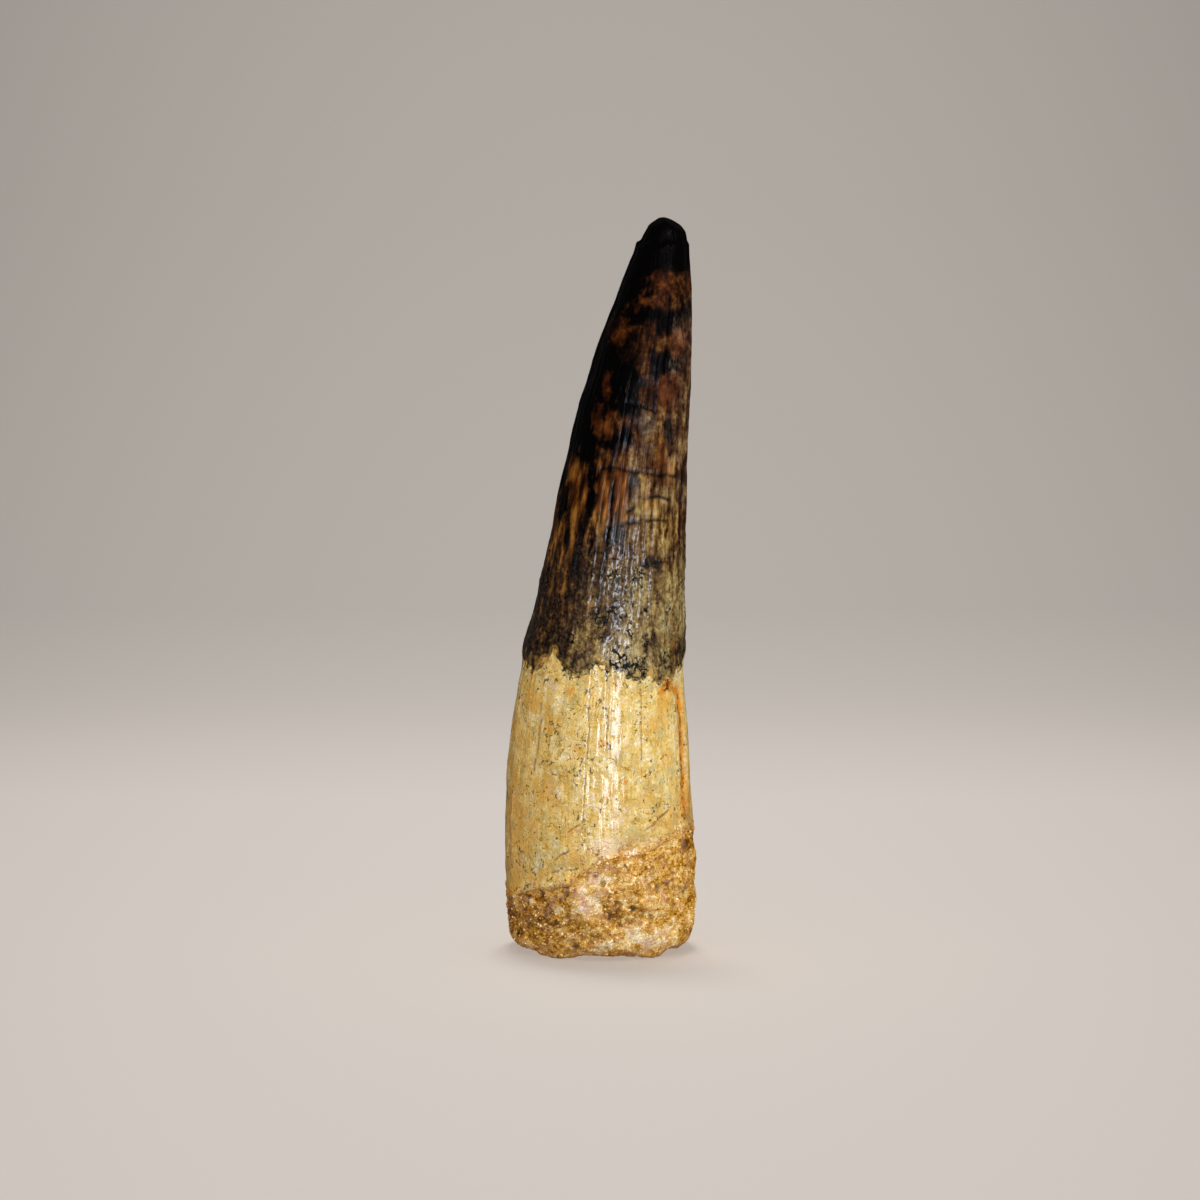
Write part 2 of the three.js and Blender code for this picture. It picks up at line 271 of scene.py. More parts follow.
def model_surface():
    """One search tree over both solids of the model."""
    corners, faces = [], []
    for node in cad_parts.values():
        start = len(corners)
        corners += [vertex.co / MM for vertex in node.data.vertices]
        faces += [[start + i for i in face.vertices] for face in node.data.polygons]
    return BVHTree.FromPolygons(corners, faces)


surface = model_surface()


def reach_along(origin, direction):
    """Distance from a point inside the model to its outermost face along a direction."""
    direction = Vector(direction)
    start = Vector(origin) + direction * CAST_REACH
    distance = surface.ray_cast(start, -direction, CAST_REACH)[3]
    return CAST_REACH - distance if distance is not None else 0.0


def underside(spot):
    """Height of the model's lowest face over a spot of the ground."""
    hit = surface.ray_cast(Vector((spot[0], spot[1], -5.0)), Vector((0, 0, 1)), 20.0)[0]
    return hit.z if hit is not None else 0.0


def measure_axis():
    """Curves for the middle of the section at each height."""
    heights = np.arange(2.0, DOME_CENTRE + 1.0, 1.0)
    x = y = 0.0
    middles = []
    for height in heights:
        for _ in range(3):
            spot = (x, y, height)
            x += (reach_along(spot, (1, 0, 0)) - reach_along(spot, (-1, 0, 0))) / 2
            spot = (x, y, height)
            y += (reach_along(spot, (0, 1, 0)) - reach_along(spot, (0, -1, 0))) / 2
        middles.append((x, y))
    middles = np.array(middles)
    degree = 6
    return (
        np.polynomial.Polynomial.fit(heights, middles[:, 0], degree),
        np.polynomial.Polynomial.fit(heights, middles[:, 1], degree),
    )


axis_x, axis_y = measure_axis()


def origins_and_directions(rows, angles):
    """Where a row starts on the axis and which way each of its points lies."""
    heights = np.minimum(rows, DOME_CENTRE)
    lift = np.clip((rows - DOME_CENTRE) / DOME_ARC, 0.0, 1.0) * (math.pi / 2)
    origins = np.stack([axis_x(heights), axis_y(heights), heights], axis=-1)
    directions = np.stack(
        [np.cos(lift) * np.cos(angles), np.cos(lift) * np.sin(angles), np.sin(lift)], axis=-1
    )
    return origins, directions


def blur(grid, rows, columns):
    """Gaussian blur of a grid that wraps round in its columns."""
    reach = int(3 * columns)
    weights = np.exp(-0.5 * (np.arange(-reach, reach + 1) / columns) ** 2)
    smooth = sum(w * np.roll(grid, i - reach, axis=1) for i, w in enumerate(weights)) / weights.sum()
    reach = int(3 * rows)
    weights = np.exp(-0.5 * (np.arange(-reach, reach + 1) / rows) ** 2)
    padded = np.pad(smooth, ((reach, reach), (0, 0)), mode="reflect", reflect_type="odd")
    count = len(grid)
    return sum(w * padded[i : i + count] for i, w in enumerate(weights)) / weights.sum()


shell_rows = np.arange(0.5, DOME_CENTRE + DOME_ARC + SHELL_STEP / 2, SHELL_STEP)
shell_angles = np.arange(SHELL_COLUMNS) * 2 * math.pi / SHELL_COLUMNS


def measure_shell():
    """Reach of the model's outside at every row and angle."""
    rows, angles = np.meshgrid(shell_rows, shell_angles, indexing="ij")
    origins, directions = origins_and_directions(rows.ravel(), angles.ravel())
    reach = [reach_along(o, d) for o, d in zip(origins, directions)]
    return np.array(reach).reshape(rows.shape)


measured_shell = measure_shell()
tooth_shell = blur(measured_shell, rows=3, columns=5)
stone_shell = blur(measured_shell, rows=1.2, columns=2)


def shell_reach(shell, rows, angles):
    """Reach between the measured rows and angles."""
    row = np.clip((rows - shell_rows[0]) / SHELL_STEP, 0, len(shell_rows) - 1.001)
    column = (angles / (2 * math.pi)) % 1.0 * SHELL_COLUMNS
    row_low = row.astype(int)
    row_high = row_low + 1
    column_low = column.astype(int) % SHELL_COLUMNS
    column_high = (column_low + 1) % SHELL_COLUMNS
    row_share = row - row_low
    column_share = column - np.floor(column)
    low = shell[row_low, column_low] * (1 - column_share) + shell[row_low, column_high] * column_share
    high = shell[row_high, column_low] * (1 - column_share) + shell[row_high, column_high] * column_share
    return low * (1 - row_share) + high * row_share


def shell_points(shell, rows, angles):
    """Places on the measured outside."""
    origins, directions = origins_and_directions(rows, angles)
    return origins + directions * shell_reach(shell, rows, angles)[:, None]


def neck_height(angles):
    """Where the enamel ends, with small scallops and jags."""
    spots = unrolled(np.zeros(np.shape(angles)), angles)
    jags = 0.35 * swell(spots, 1.7, 31) + 0.4 * swell(spots, 0.8, 32) + 0.25 * swell(spots, 0.4, 33)
    return NECK_HEIGHT + around_bumps(NECK_WAVES, angles) + jags


def unrolled(rows, angles):
    """Places on the tooth as if it were a straight cylinder, so that streaks follow the flutes."""
    return np.stack(
        [UNROLLED_RADIUS * np.cos(angles), UNROLLED_RADIUS * np.sin(angles), rows], axis=-1
    )


def around_break(angles, lift):
    """Heights round the tooth that lie above the plane of the break, or below it."""
    return BREAK_HEIGHT + BREAK_SLOPE * BREAK_HALF_WIDTH * np.cos(angles) + lift


def break_height(points):
    """The stepped, sloping break between root and stone."""
    across, heights = np.transpose(BREAK_LINE)
    spread = np.array([-1.2, -0.4, 0.4, 1.2])
    smooth = np.mean([np.interp(points[:, 0] + shift, across, heights) for shift in spread], axis=0)
    return smooth + 0.5 * swell(points, 4.5, 7) + 0.45 * swell(points, 1.6, 8) + 0.3 * swell(points, 0.7, 9)


# Meshes

def grid_faces(rows, columns, flip=False):
    """Quads of a grid of points that wraps round in its columns."""
    row, column = np.meshgrid(np.arange(rows - 1), np.arange(columns), indexing="ij")
    start = row * columns
    after = (column + 1) % columns
    quads = np.stack(
        [start + column, start + after, start + columns + after, start + columns + column], axis=-1
    ).reshape(-1, 4)
    return quads[:, ::-1] if flip else quads


def make_mesh(name, points, quads, ends=()):
    """A smooth-shaded object in metres. Each end is a ring of points and the point that closes it."""
    faces = quads.tolist()
    for ring, middle, turned in ends:
        for i, corner in enumerate(ring):
            after = ring[(i + 1) % len(ring)]
            faces.append([middle, corner, after] if turned else [middle, after, corner])
    mesh = bpy.data.meshes.new(name)
    mesh.from_pydata((points * MM).tolist(), [], faces)
    mesh.validate()
    mesh.shade_smooth()
    piece = bpy.data.objects.new(name, mesh)
    bpy.context.scene.collection.objects.link(piece)
    return piece


def outward(piece):
    """Unit directions away from the surface at each point."""
    normals = np.empty(len(piece.data.vertices) * 3, np.float32)
    piece.data.vertices.foreach_get("normal", normals)
    return normals.reshape(-1, 3).astype(float)


def set_points(piece, points):
    """Moves the points of a piece to the given places."""
    piece.data.vertices.foreach_set("co", (points * MM).astype(np.float32).ravel())
    piece.data.update()


def note(piece, name, values):
    """Stores one number, or three, for each point, for the material to read."""
    values = np.asarray(values, np.float32)
    kind = "FLOAT" if values.ndim == 1 else "FLOAT_VECTOR"
    attribute = piece.data.attributes.new(name, kind, "POINT")
    attribute.data.foreach_set("value" if kind == "FLOAT" else "vector", values.ravel())


def mark_strength(points, marks, front=1.0):
    """How strongly a list of marks covers each point, with ragged edges."""
    x = points[:, 0] + 0.35 * swell(points, (0.7, 0.7, 1.6), 41) + 0.2 * swell(points, 0.4, 42)
    z = points[:, 2] + 0.8 * swell(points, (0.8, 0.8, 2.0), 43) + 0.25 * swell(points, 0.5, 44)
    strength = np.zeros(len(points))
    for middle_x, middle_z, half_width, half_height, amount in marks:
        away = ((x - middle_x) / half_width) ** 2 + ((z - middle_z) / half_height) ** 2
        strength = np.maximum(strength, amount * np.exp(-0.7 * away**1.5))
    return strength * smoothstep(-front * (points[:, 1] - axis_y(points[:, 2])), -1.0, 1.0)


def mirrored(x, z, shift):
    """A place of the outer side moved to the hidden side, so that the two sides differ."""
    return 1.9 + 0.13 * (z - 50) - x * 0.9 + shift[0], z + shift[1]


def both_sides(points, marks, shift):
    """The strength of a list of marks, and of others like them on the inner side."""
    inner = tuple((*mirrored(x, z, shift), *rest) for x, z, *rest in marks)
    return np.maximum(mark_strength(points, marks), mark_strength(points, inner, front=-1.0))


def crack_strength(points, line, half_width, front=1.0):
    """1 on a thin crack that runs through a line of places, fading to 0 at its sides."""
    x = points[:, 0] + 0.16 * swell(points, 0.9, 51)
    z = points[:, 2] + 0.16 * swell(points, 0.9, 52)
    nearest = np.full(len(points), 1e9)
    for (x0, z0), (x1, z1) in zip(line, line[1:]):
        run_x, run_z = x1 - x0, z1 - z0
        share = ((x - x0) * run_x + (z - z0) * run_z) / (run_x**2 + run_z**2)
        share = np.clip(share, 0.0, 1.0)
        nearest = np.minimum(nearest, np.hypot(x - x0 - share * run_x, z - z0 - share * run_z))
    on_side = front * (points[:, 1] - axis_y(points[:, 2])) < 0
    return np.exp(-((nearest / half_width) ** 2)) * on_side


def all_cracks(points, cracks, shift):
    """Depth and darkness of every crack, and of others like them on the inner side."""
    depth = np.zeros(len(points))
    dark = np.zeros(len(points))
    broken = smoothstep(swell(points, 1.1, 53), -0.75, -0.1)
    for line, half_width, deep in cracks:
        across = [mirrored(x, z, shift) for x, z in line]
        here = crack_strength(points, line, half_width)
        here = np.maximum(here, crack_strength(points, across, half_width, front=-1.0))
        depth = np.maximum(depth, here * deep)
        dark = np.maximum(dark, here * broken)
    return depth, dark


def search_tree(points):
    """A tree that finds the points near a place."""
    tree = KDTree(len(points))
    for i, point in enumerate(points):
        tree.insert(point, i)
    tree.balance()
    return tree


def pits(points, count, low, high, radius, depth, seed):
    """Small round hollows scattered over a band of heights, as a depth at each point."""
    dice = np.random.default_rng(seed)
    candidates = np.flatnonzero((points[:, 2] > low) & (points[:, 2] < high))
    centres = points[dice.choice(candidates, count, replace=False)]
    sizes = dice.uniform(radius[0], radius[1], count)
    tree = search_tree(points)
    hollow = np.zeros(len(points))
    for centre, size in zip(centres, sizes):
        for _, i, away in tree.find_range(centre, size):
            hollow[i] = max(hollow[i], (1 - (away / size) ** 2) * depth * size / radius[1])
    return hollow


def spalled(points, rows):
    """The crown's points with the tip drawn to the rear and cut by flat spalls."""
    points = points.copy()
    points[:, 0] += 0.45 * smoothstep(rows, 97.0, 100.6)
    middle = np.array([axis_x(DOME_CENTRE), axis_y(DOME_CENTRE), DOME_CENTRE])
    for tilt, turn, kept in TIP_SPALLS:
        lift, way = math.radians(tilt), math.radians(turn)
        level = math.cos(lift)
        facing = np.array([level * math.cos(way), level * math.sin(way), math.sin(lift)])
        row = np.array([DOME_CENTRE + DOME_ARC * tilt / 90])
        cut = shell_reach(tooth_shell, row, np.array([way]))[0] * kept
        over = np.maximum((points - middle) @ facing - cut, 0.0)
        points = points - facing * (over * 0.8)[:, None]
    points[:, 2] = np.minimum(points[:, 2], HEIGHT)
    return points


def note_enamel_marks(crown, points):
    """Lightness, black cap and the dark, warm, grey and pale marks of the enamel. The lightness holds
    painted shade on the left side and painted light on the right, and the grey holds a painted sheen along
    the rear edge.
    """
    side = (points[:, 0] - axis_x(points[:, 2])) / (2.0 + 0.1 * (HEIGHT - points[:, 2]))
    light = np.interp(points[:, 2], *np.transpose(ENAMEL_LIGHT))
    upper = smoothstep(points[:, 2], 56, 74)
    # Painted light and shade: lighter on the right side and darker on the left, as the key light falls
    light += 0.16 * np.clip(side, -1.3, 0.6) * (0.3 + 0.7 * upper)
    light -= 0.10 * smoothstep(-side, 0.35, 0.9) * upper
    light += (0.04 * smoothstep(side, 0.2, 0.8) - 0.2 * smoothstep(-side, 0.1, 0.8)) * (1 - upper)
    ragged = 1.1 * swell(points, 2.2, 73) + 0.5 * swell(points, 0.8, 74)
    # A painted grey sheen along the rear edge, over the middle of the crown
    painted_edge_sheen = smoothstep(side, 0.75, 1.0)
    painted_edge_sheen *= smoothstep(points[:, 2], 56, 62) * smoothstep(-points[:, 2], -92, -86)
    note(crown, "light", light)
    note(crown, "dark", both_sides(points, DARK_MARKS, (0.7, -2.1)))
    note(crown, "cap", smoothstep(points[:, 2] + ragged, 93.2, 94.4))
    note(crown, "warm", both_sides(points, WARM_MARKS, (0.7, 1.3)))
    note(crown, "grey", np.maximum(both_sides(points, GREY_AND_GLINT_MARKS, (0.0, 3.0)), 0.5 * painted_edge_sheen))
    note(crown, "pale", both_sides(points, PALE_MARKS, (1.1, -1.0)))


def make_crown():
    """The fluted enamel, with a worn lower margin, cracks and a spalled tip."""
    rows_count, columns = CROWN_GRID
    angles = np.arange(columns) * 2 * math.pi / columns
    share = np.linspace(0.0, 1.0, rows_count - 2)[:, None]
    neck = neck_height(angles)[None, :]
    top = DOME_CENTRE + DOME_ARC * 0.985
    rows = neck + (top - neck) * share
    rows = np.vstack([neck - 0.5, neck - 0.1, rows]).ravel()
    angles = np.tile(angles, rows_count)
    points = shell_points(tooth_shell, rows, angles)
    tip = shell_points(tooth_shell, np.array([DOME_CENTRE + DOME_ARC]), np.array([0.0]))
    foot = points[:columns].mean(axis=0)[None, :]
    count = len(points)
    last = range(count - columns, count)
    crown = make_mesh(
        "enamel_crown",
        np.vstack([points, tip, foot]),
        grid_faces(rows_count, columns),
        ends=((last, count, True), (range(columns), count + 1, False)),
    )
    normals = outward(crown)
    rows = np.append(rows, [DOME_CENTRE + DOME_ARC, NECK_HEIGHT])
    angles = np.append(angles, [0.0, 0.0])
    points = np.vstack([points, tip, foot])
    flow = unrolled(rows, angles)
    above_neck = rows - neck_height(angles)

    fade = smoothstep(above_neck, 2.0, 13.0) * (1 - 0.85 * smoothstep(rows, 70, 90))
    phase = FLUTES * angles + 1.9 * swell(flow, (4, 4, 13), 61)
    vary = 0.65 + 0.6 * swell(flow, (1.5, 1.5, 7), 62)
    groove = (0.5 + 0.5 * np.cos(phase)) ** 2.0
    wrinkle = 0.04 * swell(flow, (0.45, 0.45, 3.0), 63) + 0.03 * swell(flow, (0.35, 0.35, 1.2), 64)
    relief = FLUTE_DEPTH * (0.42 - groove * vary) * fade * 0.9 + wrinkle * (0.4 + 0.6 * fade)
    relief += 0.10 * np.exp(-((np.sin(angles) / 0.07) ** 2)) * smoothstep(above_neck, 0, 4)
    relief += REAR_FULLNESS * smoothstep(np.cos(angles), 0.2, 1.0) * smoothstep(above_neck, 2, 8)
    relief += 0.07 * swell(points, 2.2, 65) + 0.03 * swell(points, 0.9, 66)

    # The margin of the enamel is thin, pitted and crazed.
    worn = 1 - smoothstep(above_neck + 1.5 * swell(points, 2.5, 67), 11.0, 22.0)
    relief += worn * (0.045 * swell(points, 0.7, 68) + 0.035 * swell(points, 0.38, 69))
    hollow = pits(points, 620, NECK_HEIGHT - 3, NECK_HEIGHT + 18, (0.16, 0.42), 0.11, 70)
    relief -= hollow * worn
    relief += 0.07 * smoothstep(above_neck, 0.0, 0.8) - 0.03
    relief = np.where(above_neck < -0.3, -0.6, relief)
    depth, crack = all_cracks(points, CROWN_CRACKS, (0.8, 1.7))
    relief -= depth

    # The tip is polished and rounded, with a few flat spalls and a faint rim below it.
    dome = smoothstep(rows, 95.5, 97.5)
    relief += dome * 0.06 * swell(points, 1.2, 71)
    relief += 0.07 * np.exp(-(((rows - 95.9 - 0.5 * swell(flow, 4, 72)) / 0.5) ** 2))
    cut_back = smoothstep(rows + 0.5 * swell(flow, 3, 74), 96.0, 96.7)
    relief -= 0.36 * cut_back * smoothstep(-rows, -100.2, -98.0)
    points = points + normals * relief[:, None]
    points = spalled(points, rows)
    set_points(crown, points)

    note_enamel_marks(crown, points)
    note(crown, "unrolled", flow)
    note(crown, "groove", groove * fade)
    note(crown, "crack", crack)
    note(crown, "worn", worn)
    note(crown, "above_neck", above_neck)
    return crown


def make_root():
    """The dentine, with long fibres, flakes, pits, cracks and the orange split."""
    rows_count, columns = ROOT_GRID
    angles = np.arange(columns) * 2 * math.pi / columns
    lowest = around_break(angles, -3.0)
    highest = neck_height(angles) + 0.6
    share = np.linspace(0.0, 1.0, rows_count)[:, None]
    rows = (lowest[None, :] + (highest - lowest)[None, :] * share).ravel()
    angles = np.tile(angles, rows_count)
    points = shell_points(tooth_shell, rows, angles)
    count = len(points)
    foot = points[:columns].mean(axis=0)
    head = points[-columns:].mean(axis=0)
    points = np.vstack([points, foot, head])
    last = range(count - columns, count)
    root = make_mesh(
        "dentine_root",
        points,
        grid_faces(rows_count, columns),
        ends=((last, count + 1, True), (range(columns), count, False)),
    )
    normals = outward(root)
    rows = np.append(rows, [foot[2], head[2]])
    angles = np.append(angles, [0.0, 0.0])
    flow = unrolled(rows, angles)
    above_neck = rows - neck_height(angles)

    relief = 0.10 * swell(points, 3.5, 81) + 0.04 * swell(points, 1.3, 82)
    fibre = swell(flow, (0.5, 0.5, 6.0), 83)
    relief += 0.055 * fibre + 0.012 * swell(flow, (0.28, 0.28, 2.0), 84)
    relief += 0.06 * swell(flow, (1.6, 1.6, 14), 85)
    flake = smoothstep(swell(flow, (1.2, 1.2, 5), 86), 0.12, 0.2)
    left = smoothstep(-points[:, 0], 4.0, 7.0)
    relief += 0.05 * flake * (0.25 + 0.75 * left)
    relief -= pits(points, 520, BREAK_HEIGHT, NECK_HEIGHT, (0.12, 0.34), 0.09, 87)
    depth, crack = all_cracks(points, ROOT_CRACKS, (0.4, -1.5))
    relief -= depth
    split_line, split_width, split_depth = ORANGE_SPLIT
    split = crack_strength(points, split_line, split_width)
    relief -= split * split_depth
    below = points[:, 2] - break_height(points)
    relief -= 0.75 * (1 - smoothstep(below, -1.0, 0.1))
    relief -= 0.22 * smoothstep(above_neck, -0.35, 0.15)
    points = points + normals * relief[:, None]
    points[-2:] = foot, head
    set_points(root, points)

    halo = crack_strength(points, split_line, split_width * HALO_WIDTH)
    note(root, "unrolled", flow)
    note(root, "crack", crack)
    note(root, "split", np.maximum(split, HALO_STRENGTH * halo))
    note(root, "stain", both_sides(points, STAIN_MARKS, (0.2, -1.0)))
    note(root, "ochre", both_sides(points, OCHRE_MARKS, (0.3, 1.0)))
    note(root, "blush", both_sides(points, BLUSH_MARKS, (-0.4, 0.5)))
    note(root, "soot", both_sides(points, SOOT_MARKS, (0.5, 1.0)))
    note(root, "above_neck", above_neck)
    note(root, "above_break", below)
    return root


def sand_cells(points):
    """Tone, rise and bulge of the sand grains: each point belongs to the nearest grain."""
    count = 9000
    dice = np.random.default_rng(91)
    outer = np.flatnonzero(points[:, 2] > 0.02)
    seeds = points[dice.choice(outer, count, replace=False)] + dice.normal(0, 0.06, (count, 3))
    tree = search_tree(seeds)
    grain_tone = dice.uniform(0, 1, count)
    grain_rise = dice.uniform(-1, 1, count)
    nearest = np.empty(len(points), int)
    gap = np.empty(len(points))
    for i, point in enumerate(points):
        (_, first, near), (_, _, far) = tree.find_n(point, 2)
        nearest[i] = first
        gap[i] = far - near
    return grain_tone[nearest], grain_rise[nearest], smoothstep(gap, 0.0, 0.26)


def make_stone():
    """The stone from the ground up to the break, with its grains, hollows and knobs."""
    columns = STONE_COLUMNS
    angles = np.arange(columns) * 2 * math.pi / columns
    directions = np.stack([np.cos(angles), np.sin(angles)], axis=-1)
    start = np.array([axis_x(2.0), axis_y(2.0)])

    # The lower rim is found by feeling upwards from below along each direction.
    rim = np.empty(columns)
    rim_reach = shell_reach(stone_shell, np.full(columns, 1.6), angles)
    for i, (direction, reach) in enumerate(zip(directions, rim_reach)):
        spot = start + direction * (reach - 0.7)
        rim[i] = underside(spot)
    top = around_break(angles, 2.6)
    share = np.linspace(0.0, 1.0, STONE_SIDE_ROWS)[:, None]
    rows = (rim + 0.35)[None, :] + (top - rim - 0.35)[None, :] * share
    side_angles = np.tile(angles, STONE_SIDE_ROWS)
    side = shell_points(stone_shell, rows.ravel(), side_angles)

    # The underside runs from its middle out to the rim.
    outline = side[:columns, :2]
    under = []
    for share in np.linspace(0.0, 1.0, STONE_UNDER_ROWS + 1)[1:-1] ** 0.75:
        for spot in start + (outline - start) * (share * 0.985):
            under.append((spot[0], spot[1], underside(spot)))
    points = np.vstack([np.array(under), side])
    rows_count = STONE_UNDER_ROWS - 1 + STONE_SIDE_ROWS
    count = len(points)
    foot = np.array([start[0], start[1], 0.0])
    head = points[-columns:].mean(axis=0)
    points = np.vstack([points, foot, head])
    last = range(count - columns, count)
    stone = make_mesh(
        "sandstone_matrix",
        points,
        grid_faces(rows_count, columns),
        ends=((last, count + 1, True), (range(columns), count, False)),
    )
    normals = outward(stone)

    tone, rise, bulge = sand_cells(points)
    relief = 0.07 * bulge + 0.05 * rise * bulge - 0.05
    relief += 0.12 * swell(points, 1.9, 92) + 0.08 * swell(points, 0.8, 93)
    hollow = pits(points, 60, 0.6, 16, (0.25, 0.6), 0.3, 94)
    relief -= hollow
    above = points[:, 2] - break_height(points)
    above -= 0.9 * swell(points, 2.4, 95) + 0.5 * swell(points, 0.9, 96)
    relief += np.where(above > -0.4, -0.5 * (above + 0.4), 0.0)
    relief = np.maximum(relief, -1.1)
    corner = np.linalg.norm((points - np.array([13.0, -3.0, 3.5])) / np.array([3.0, 7.0, 3.4]), axis=1)
    relief += 0.5 * np.exp(-(corner**2))
    knob = np.linalg.norm(points - np.array([-11.3, -4.3, 2.6]), axis=1)
    relief += 0.32 * np.exp(-((knob / 1.3) ** 2)) - 0.75 * np.exp(-((knob / 0.42) ** 2))
    points = points + normals * relief[:, None]
    points[:, 2] = np.maximum(points[:, 2], 0.0)
    points[-2:] = foot, head
    set_points(stone, points)

    note(stone, "grain", tone)
    note(stone, "gap", bulge)
    # The pits and the knob's hole, which the material fills with painted shade
    note(stone, "hollow", np.clip(hollow * 4 + np.exp(-((knob / 0.5) ** 2)), 0, 1))
    note(stone, "pale", both_sides(points, STONE_PALE_MARKS, (0.5, 0.3)))
    note(stone, "dark", both_sides(points, STONE_DARK_MARKS, (-0.5, 0.3)))
    return stone, points, normals, above


def make_loose_grains(stone_points, stone_normals, above):
    """Larger angular sand grains, half sunk in the stone and thinning out over the root."""
    ball = bmesh.new()
    bmesh.ops.create_icosphere(ball, subdivisions=2, radius=1.0)
    shape = np.array([vertex.co for vertex in ball.verts])
    faces = np.array([[corner.index for corner in face.verts] for face in ball.faces])
    ball.free()
    dice = np.random.default_rng(101)
    height = stone_points[:, 2]
    likely = np.where(above < 0, 1.0, np.exp(-above / 0.7) * 0.5) * (height > 0.35)
    likely *= above < 1.2
    likely /= likely.sum()
    count = 560
    chosen = dice.choice(len(stone_points), count, replace=False, p=likely)
    corners, triangles, tones = [], [], []
    for i in chosen:
        size = dice.uniform(0.1, 0.24)
        stretch = dice.uniform(0.7, 1.25, 3)
        turn, _ = np.linalg.qr(dice.normal(size=(3, 3)))
        form = np.clip(shape + dice.normal(0, 0.04, shape.shape), -0.78, 0.78) * stretch * size
        place = stone_points[i] - stone_normals[i] * size * 0.3
        grain = form @ turn.T + place
        grain[:, 2] = np.maximum(grain[:, 2], 0.0)
        triangles.append(faces + len(corners) * len(shape))
        corners.append(grain)
        tones.append(np.full(len(shape), dice.uniform(0.3, 1.0)))
    grains = make_mesh("loose_sand_grains", np.vstack(corners), np.vstack(triangles))
    note(grains, "grain", np.concatenate(tones))
    return grains


# Materials

# Sockets of a node that mixes two colours
MIX_AMOUNT, MIX_FIRST, MIX_SECOND, MIX_RESULT = 0, 6, 7, 2


def rgba(hex_colour):
    """An sRGB hex colour as linear red, green, blue and full alpha."""
    channels = [int(hex_colour[i : i + 2], 16) / 255 for i in (1, 3, 5)]
    linear = [c / 12.92 if c <= 0.04045 else ((c + 0.055) / 1.055) ** 2.4 for c in channels]
    return (*linear, 1.0)


def add(tree, kind, inputs, out=0, stops=None, **settings):
    """Adds a node with its settings and returns one of its outputs, if it has any.

    An input that is a socket is linked, any other is a value.
    """
    node = tree.nodes.new(kind)
    for name, value in settings.items():
        setattr(node, name, value)
    for key, value in inputs.items():
        if isinstance(value, bpy.types.NodeSocket):
            tree.links.new(value, node.inputs[key])
        else:
            node.inputs[key].default_value = value
    if stops:
        ramp = node.color_ramp
        while len(ramp.elements) < len(stops):
            ramp.elements.new(0.5)
        for element, (position, colour) in zip(ramp.elements, stops):
            element.position = position
            element.color = rgba(colour)
    return node.outputs[out] if node.outputs else None


def start_material(name, noted=()):
    """A new material and its node tree, places in millimetres, and what the mesh notes at each point."""
    material = bpy.data.materials.new(name)
    material.use_nodes = True
    tree = material.node_tree
    tree.nodes.clear()
    metres = add(tree, "ShaderNodeTexCoord", {}, "Object")
    place = add(tree, "ShaderNodeVectorMath", {0: metres, 1: (1 / MM,) * 3}, operation="MULTIPLY")
    notes = {key: add(tree, "ShaderNodeAttribute", {}, "Fac", attribute_name=key) for key in noted}
    return material, tree, place, notes


def end_material(tree, inputs):
    """The shader and its way out."""
    shader = add(tree, "ShaderNodeBsdfPrincipled", inputs)
    add(tree, "ShaderNodeOutputMaterial", {"Surface": shader})


def all_noises(tree, rows):
    """Even noises, each given by its coordinates, swell sizes in mm, detail, roughness and offset."""
    made = []
    for place, size, detail, roughness, offset in rows:
        steps = tuple(1 / length for length in size)
        spot = add(tree, "ShaderNodeVectorMath", {0: place, 1: steps}, operation="MULTIPLY")
        inputs = {"Vector": spot, "W": offset, "Scale": 1.0, "Detail": detail, "Roughness": roughness}
        made.append(add(tree, "ShaderNodeTexNoise", inputs, "Fac", noise_dimensions="4D"))
    return made


def summed(tree, base, *terms):
    """base plus, for each term, how far its source is from its middle, times its weight.

    A weight in three parts runs from the first to the second as the third goes from 0 to 1.
    """
    total = base
    for source, middle, weight in terms:
        if isinstance(weight, tuple):
            least, most, share = weight
            weight = add(tree, "ShaderNodeMapRange", {"Value": share, "To Min": least, "To Max": most})
        away = add(tree, "ShaderNodeMath", {0: source, 1: middle}, operation="SUBTRACT")
        total = add(tree, "ShaderNodeMath", {0: away, 1: weight, 2: total}, operation="MULTIPLY_ADD")
    return total


def painted(tree, colour, *layers):
    """A colour with stains laid over it in turn.

    A layer is a value, where it starts to show, where it is full, its full strength and its stain.
    """
    for value, start, full, strength, stain in layers:
        spread = {"Value": value, "From Min": start, "From Max": full, "To Max": strength}
        amount = add(tree, "ShaderNodeMapRange", spread)
        stain = rgba(stain) if isinstance(stain, str) else stain
        mix = {MIX_AMOUNT: amount, MIX_FIRST: colour, MIX_SECOND: stain}
        colour = add(tree, "ShaderNodeMix", mix, MIX_RESULT, data_type="RGBA")
    return colour


# The noises that the enamel's and the dentine's shared edge is drawn with
PATCH_NOISE = ((2.4, 2.4, 3.0), 4.0, 0.6, 0.0)
MOTTLE_NOISE = ((0.75, 0.75, 0.75), 5.0, 0.68, 0.0)
LOBE_SIZE = 2.1


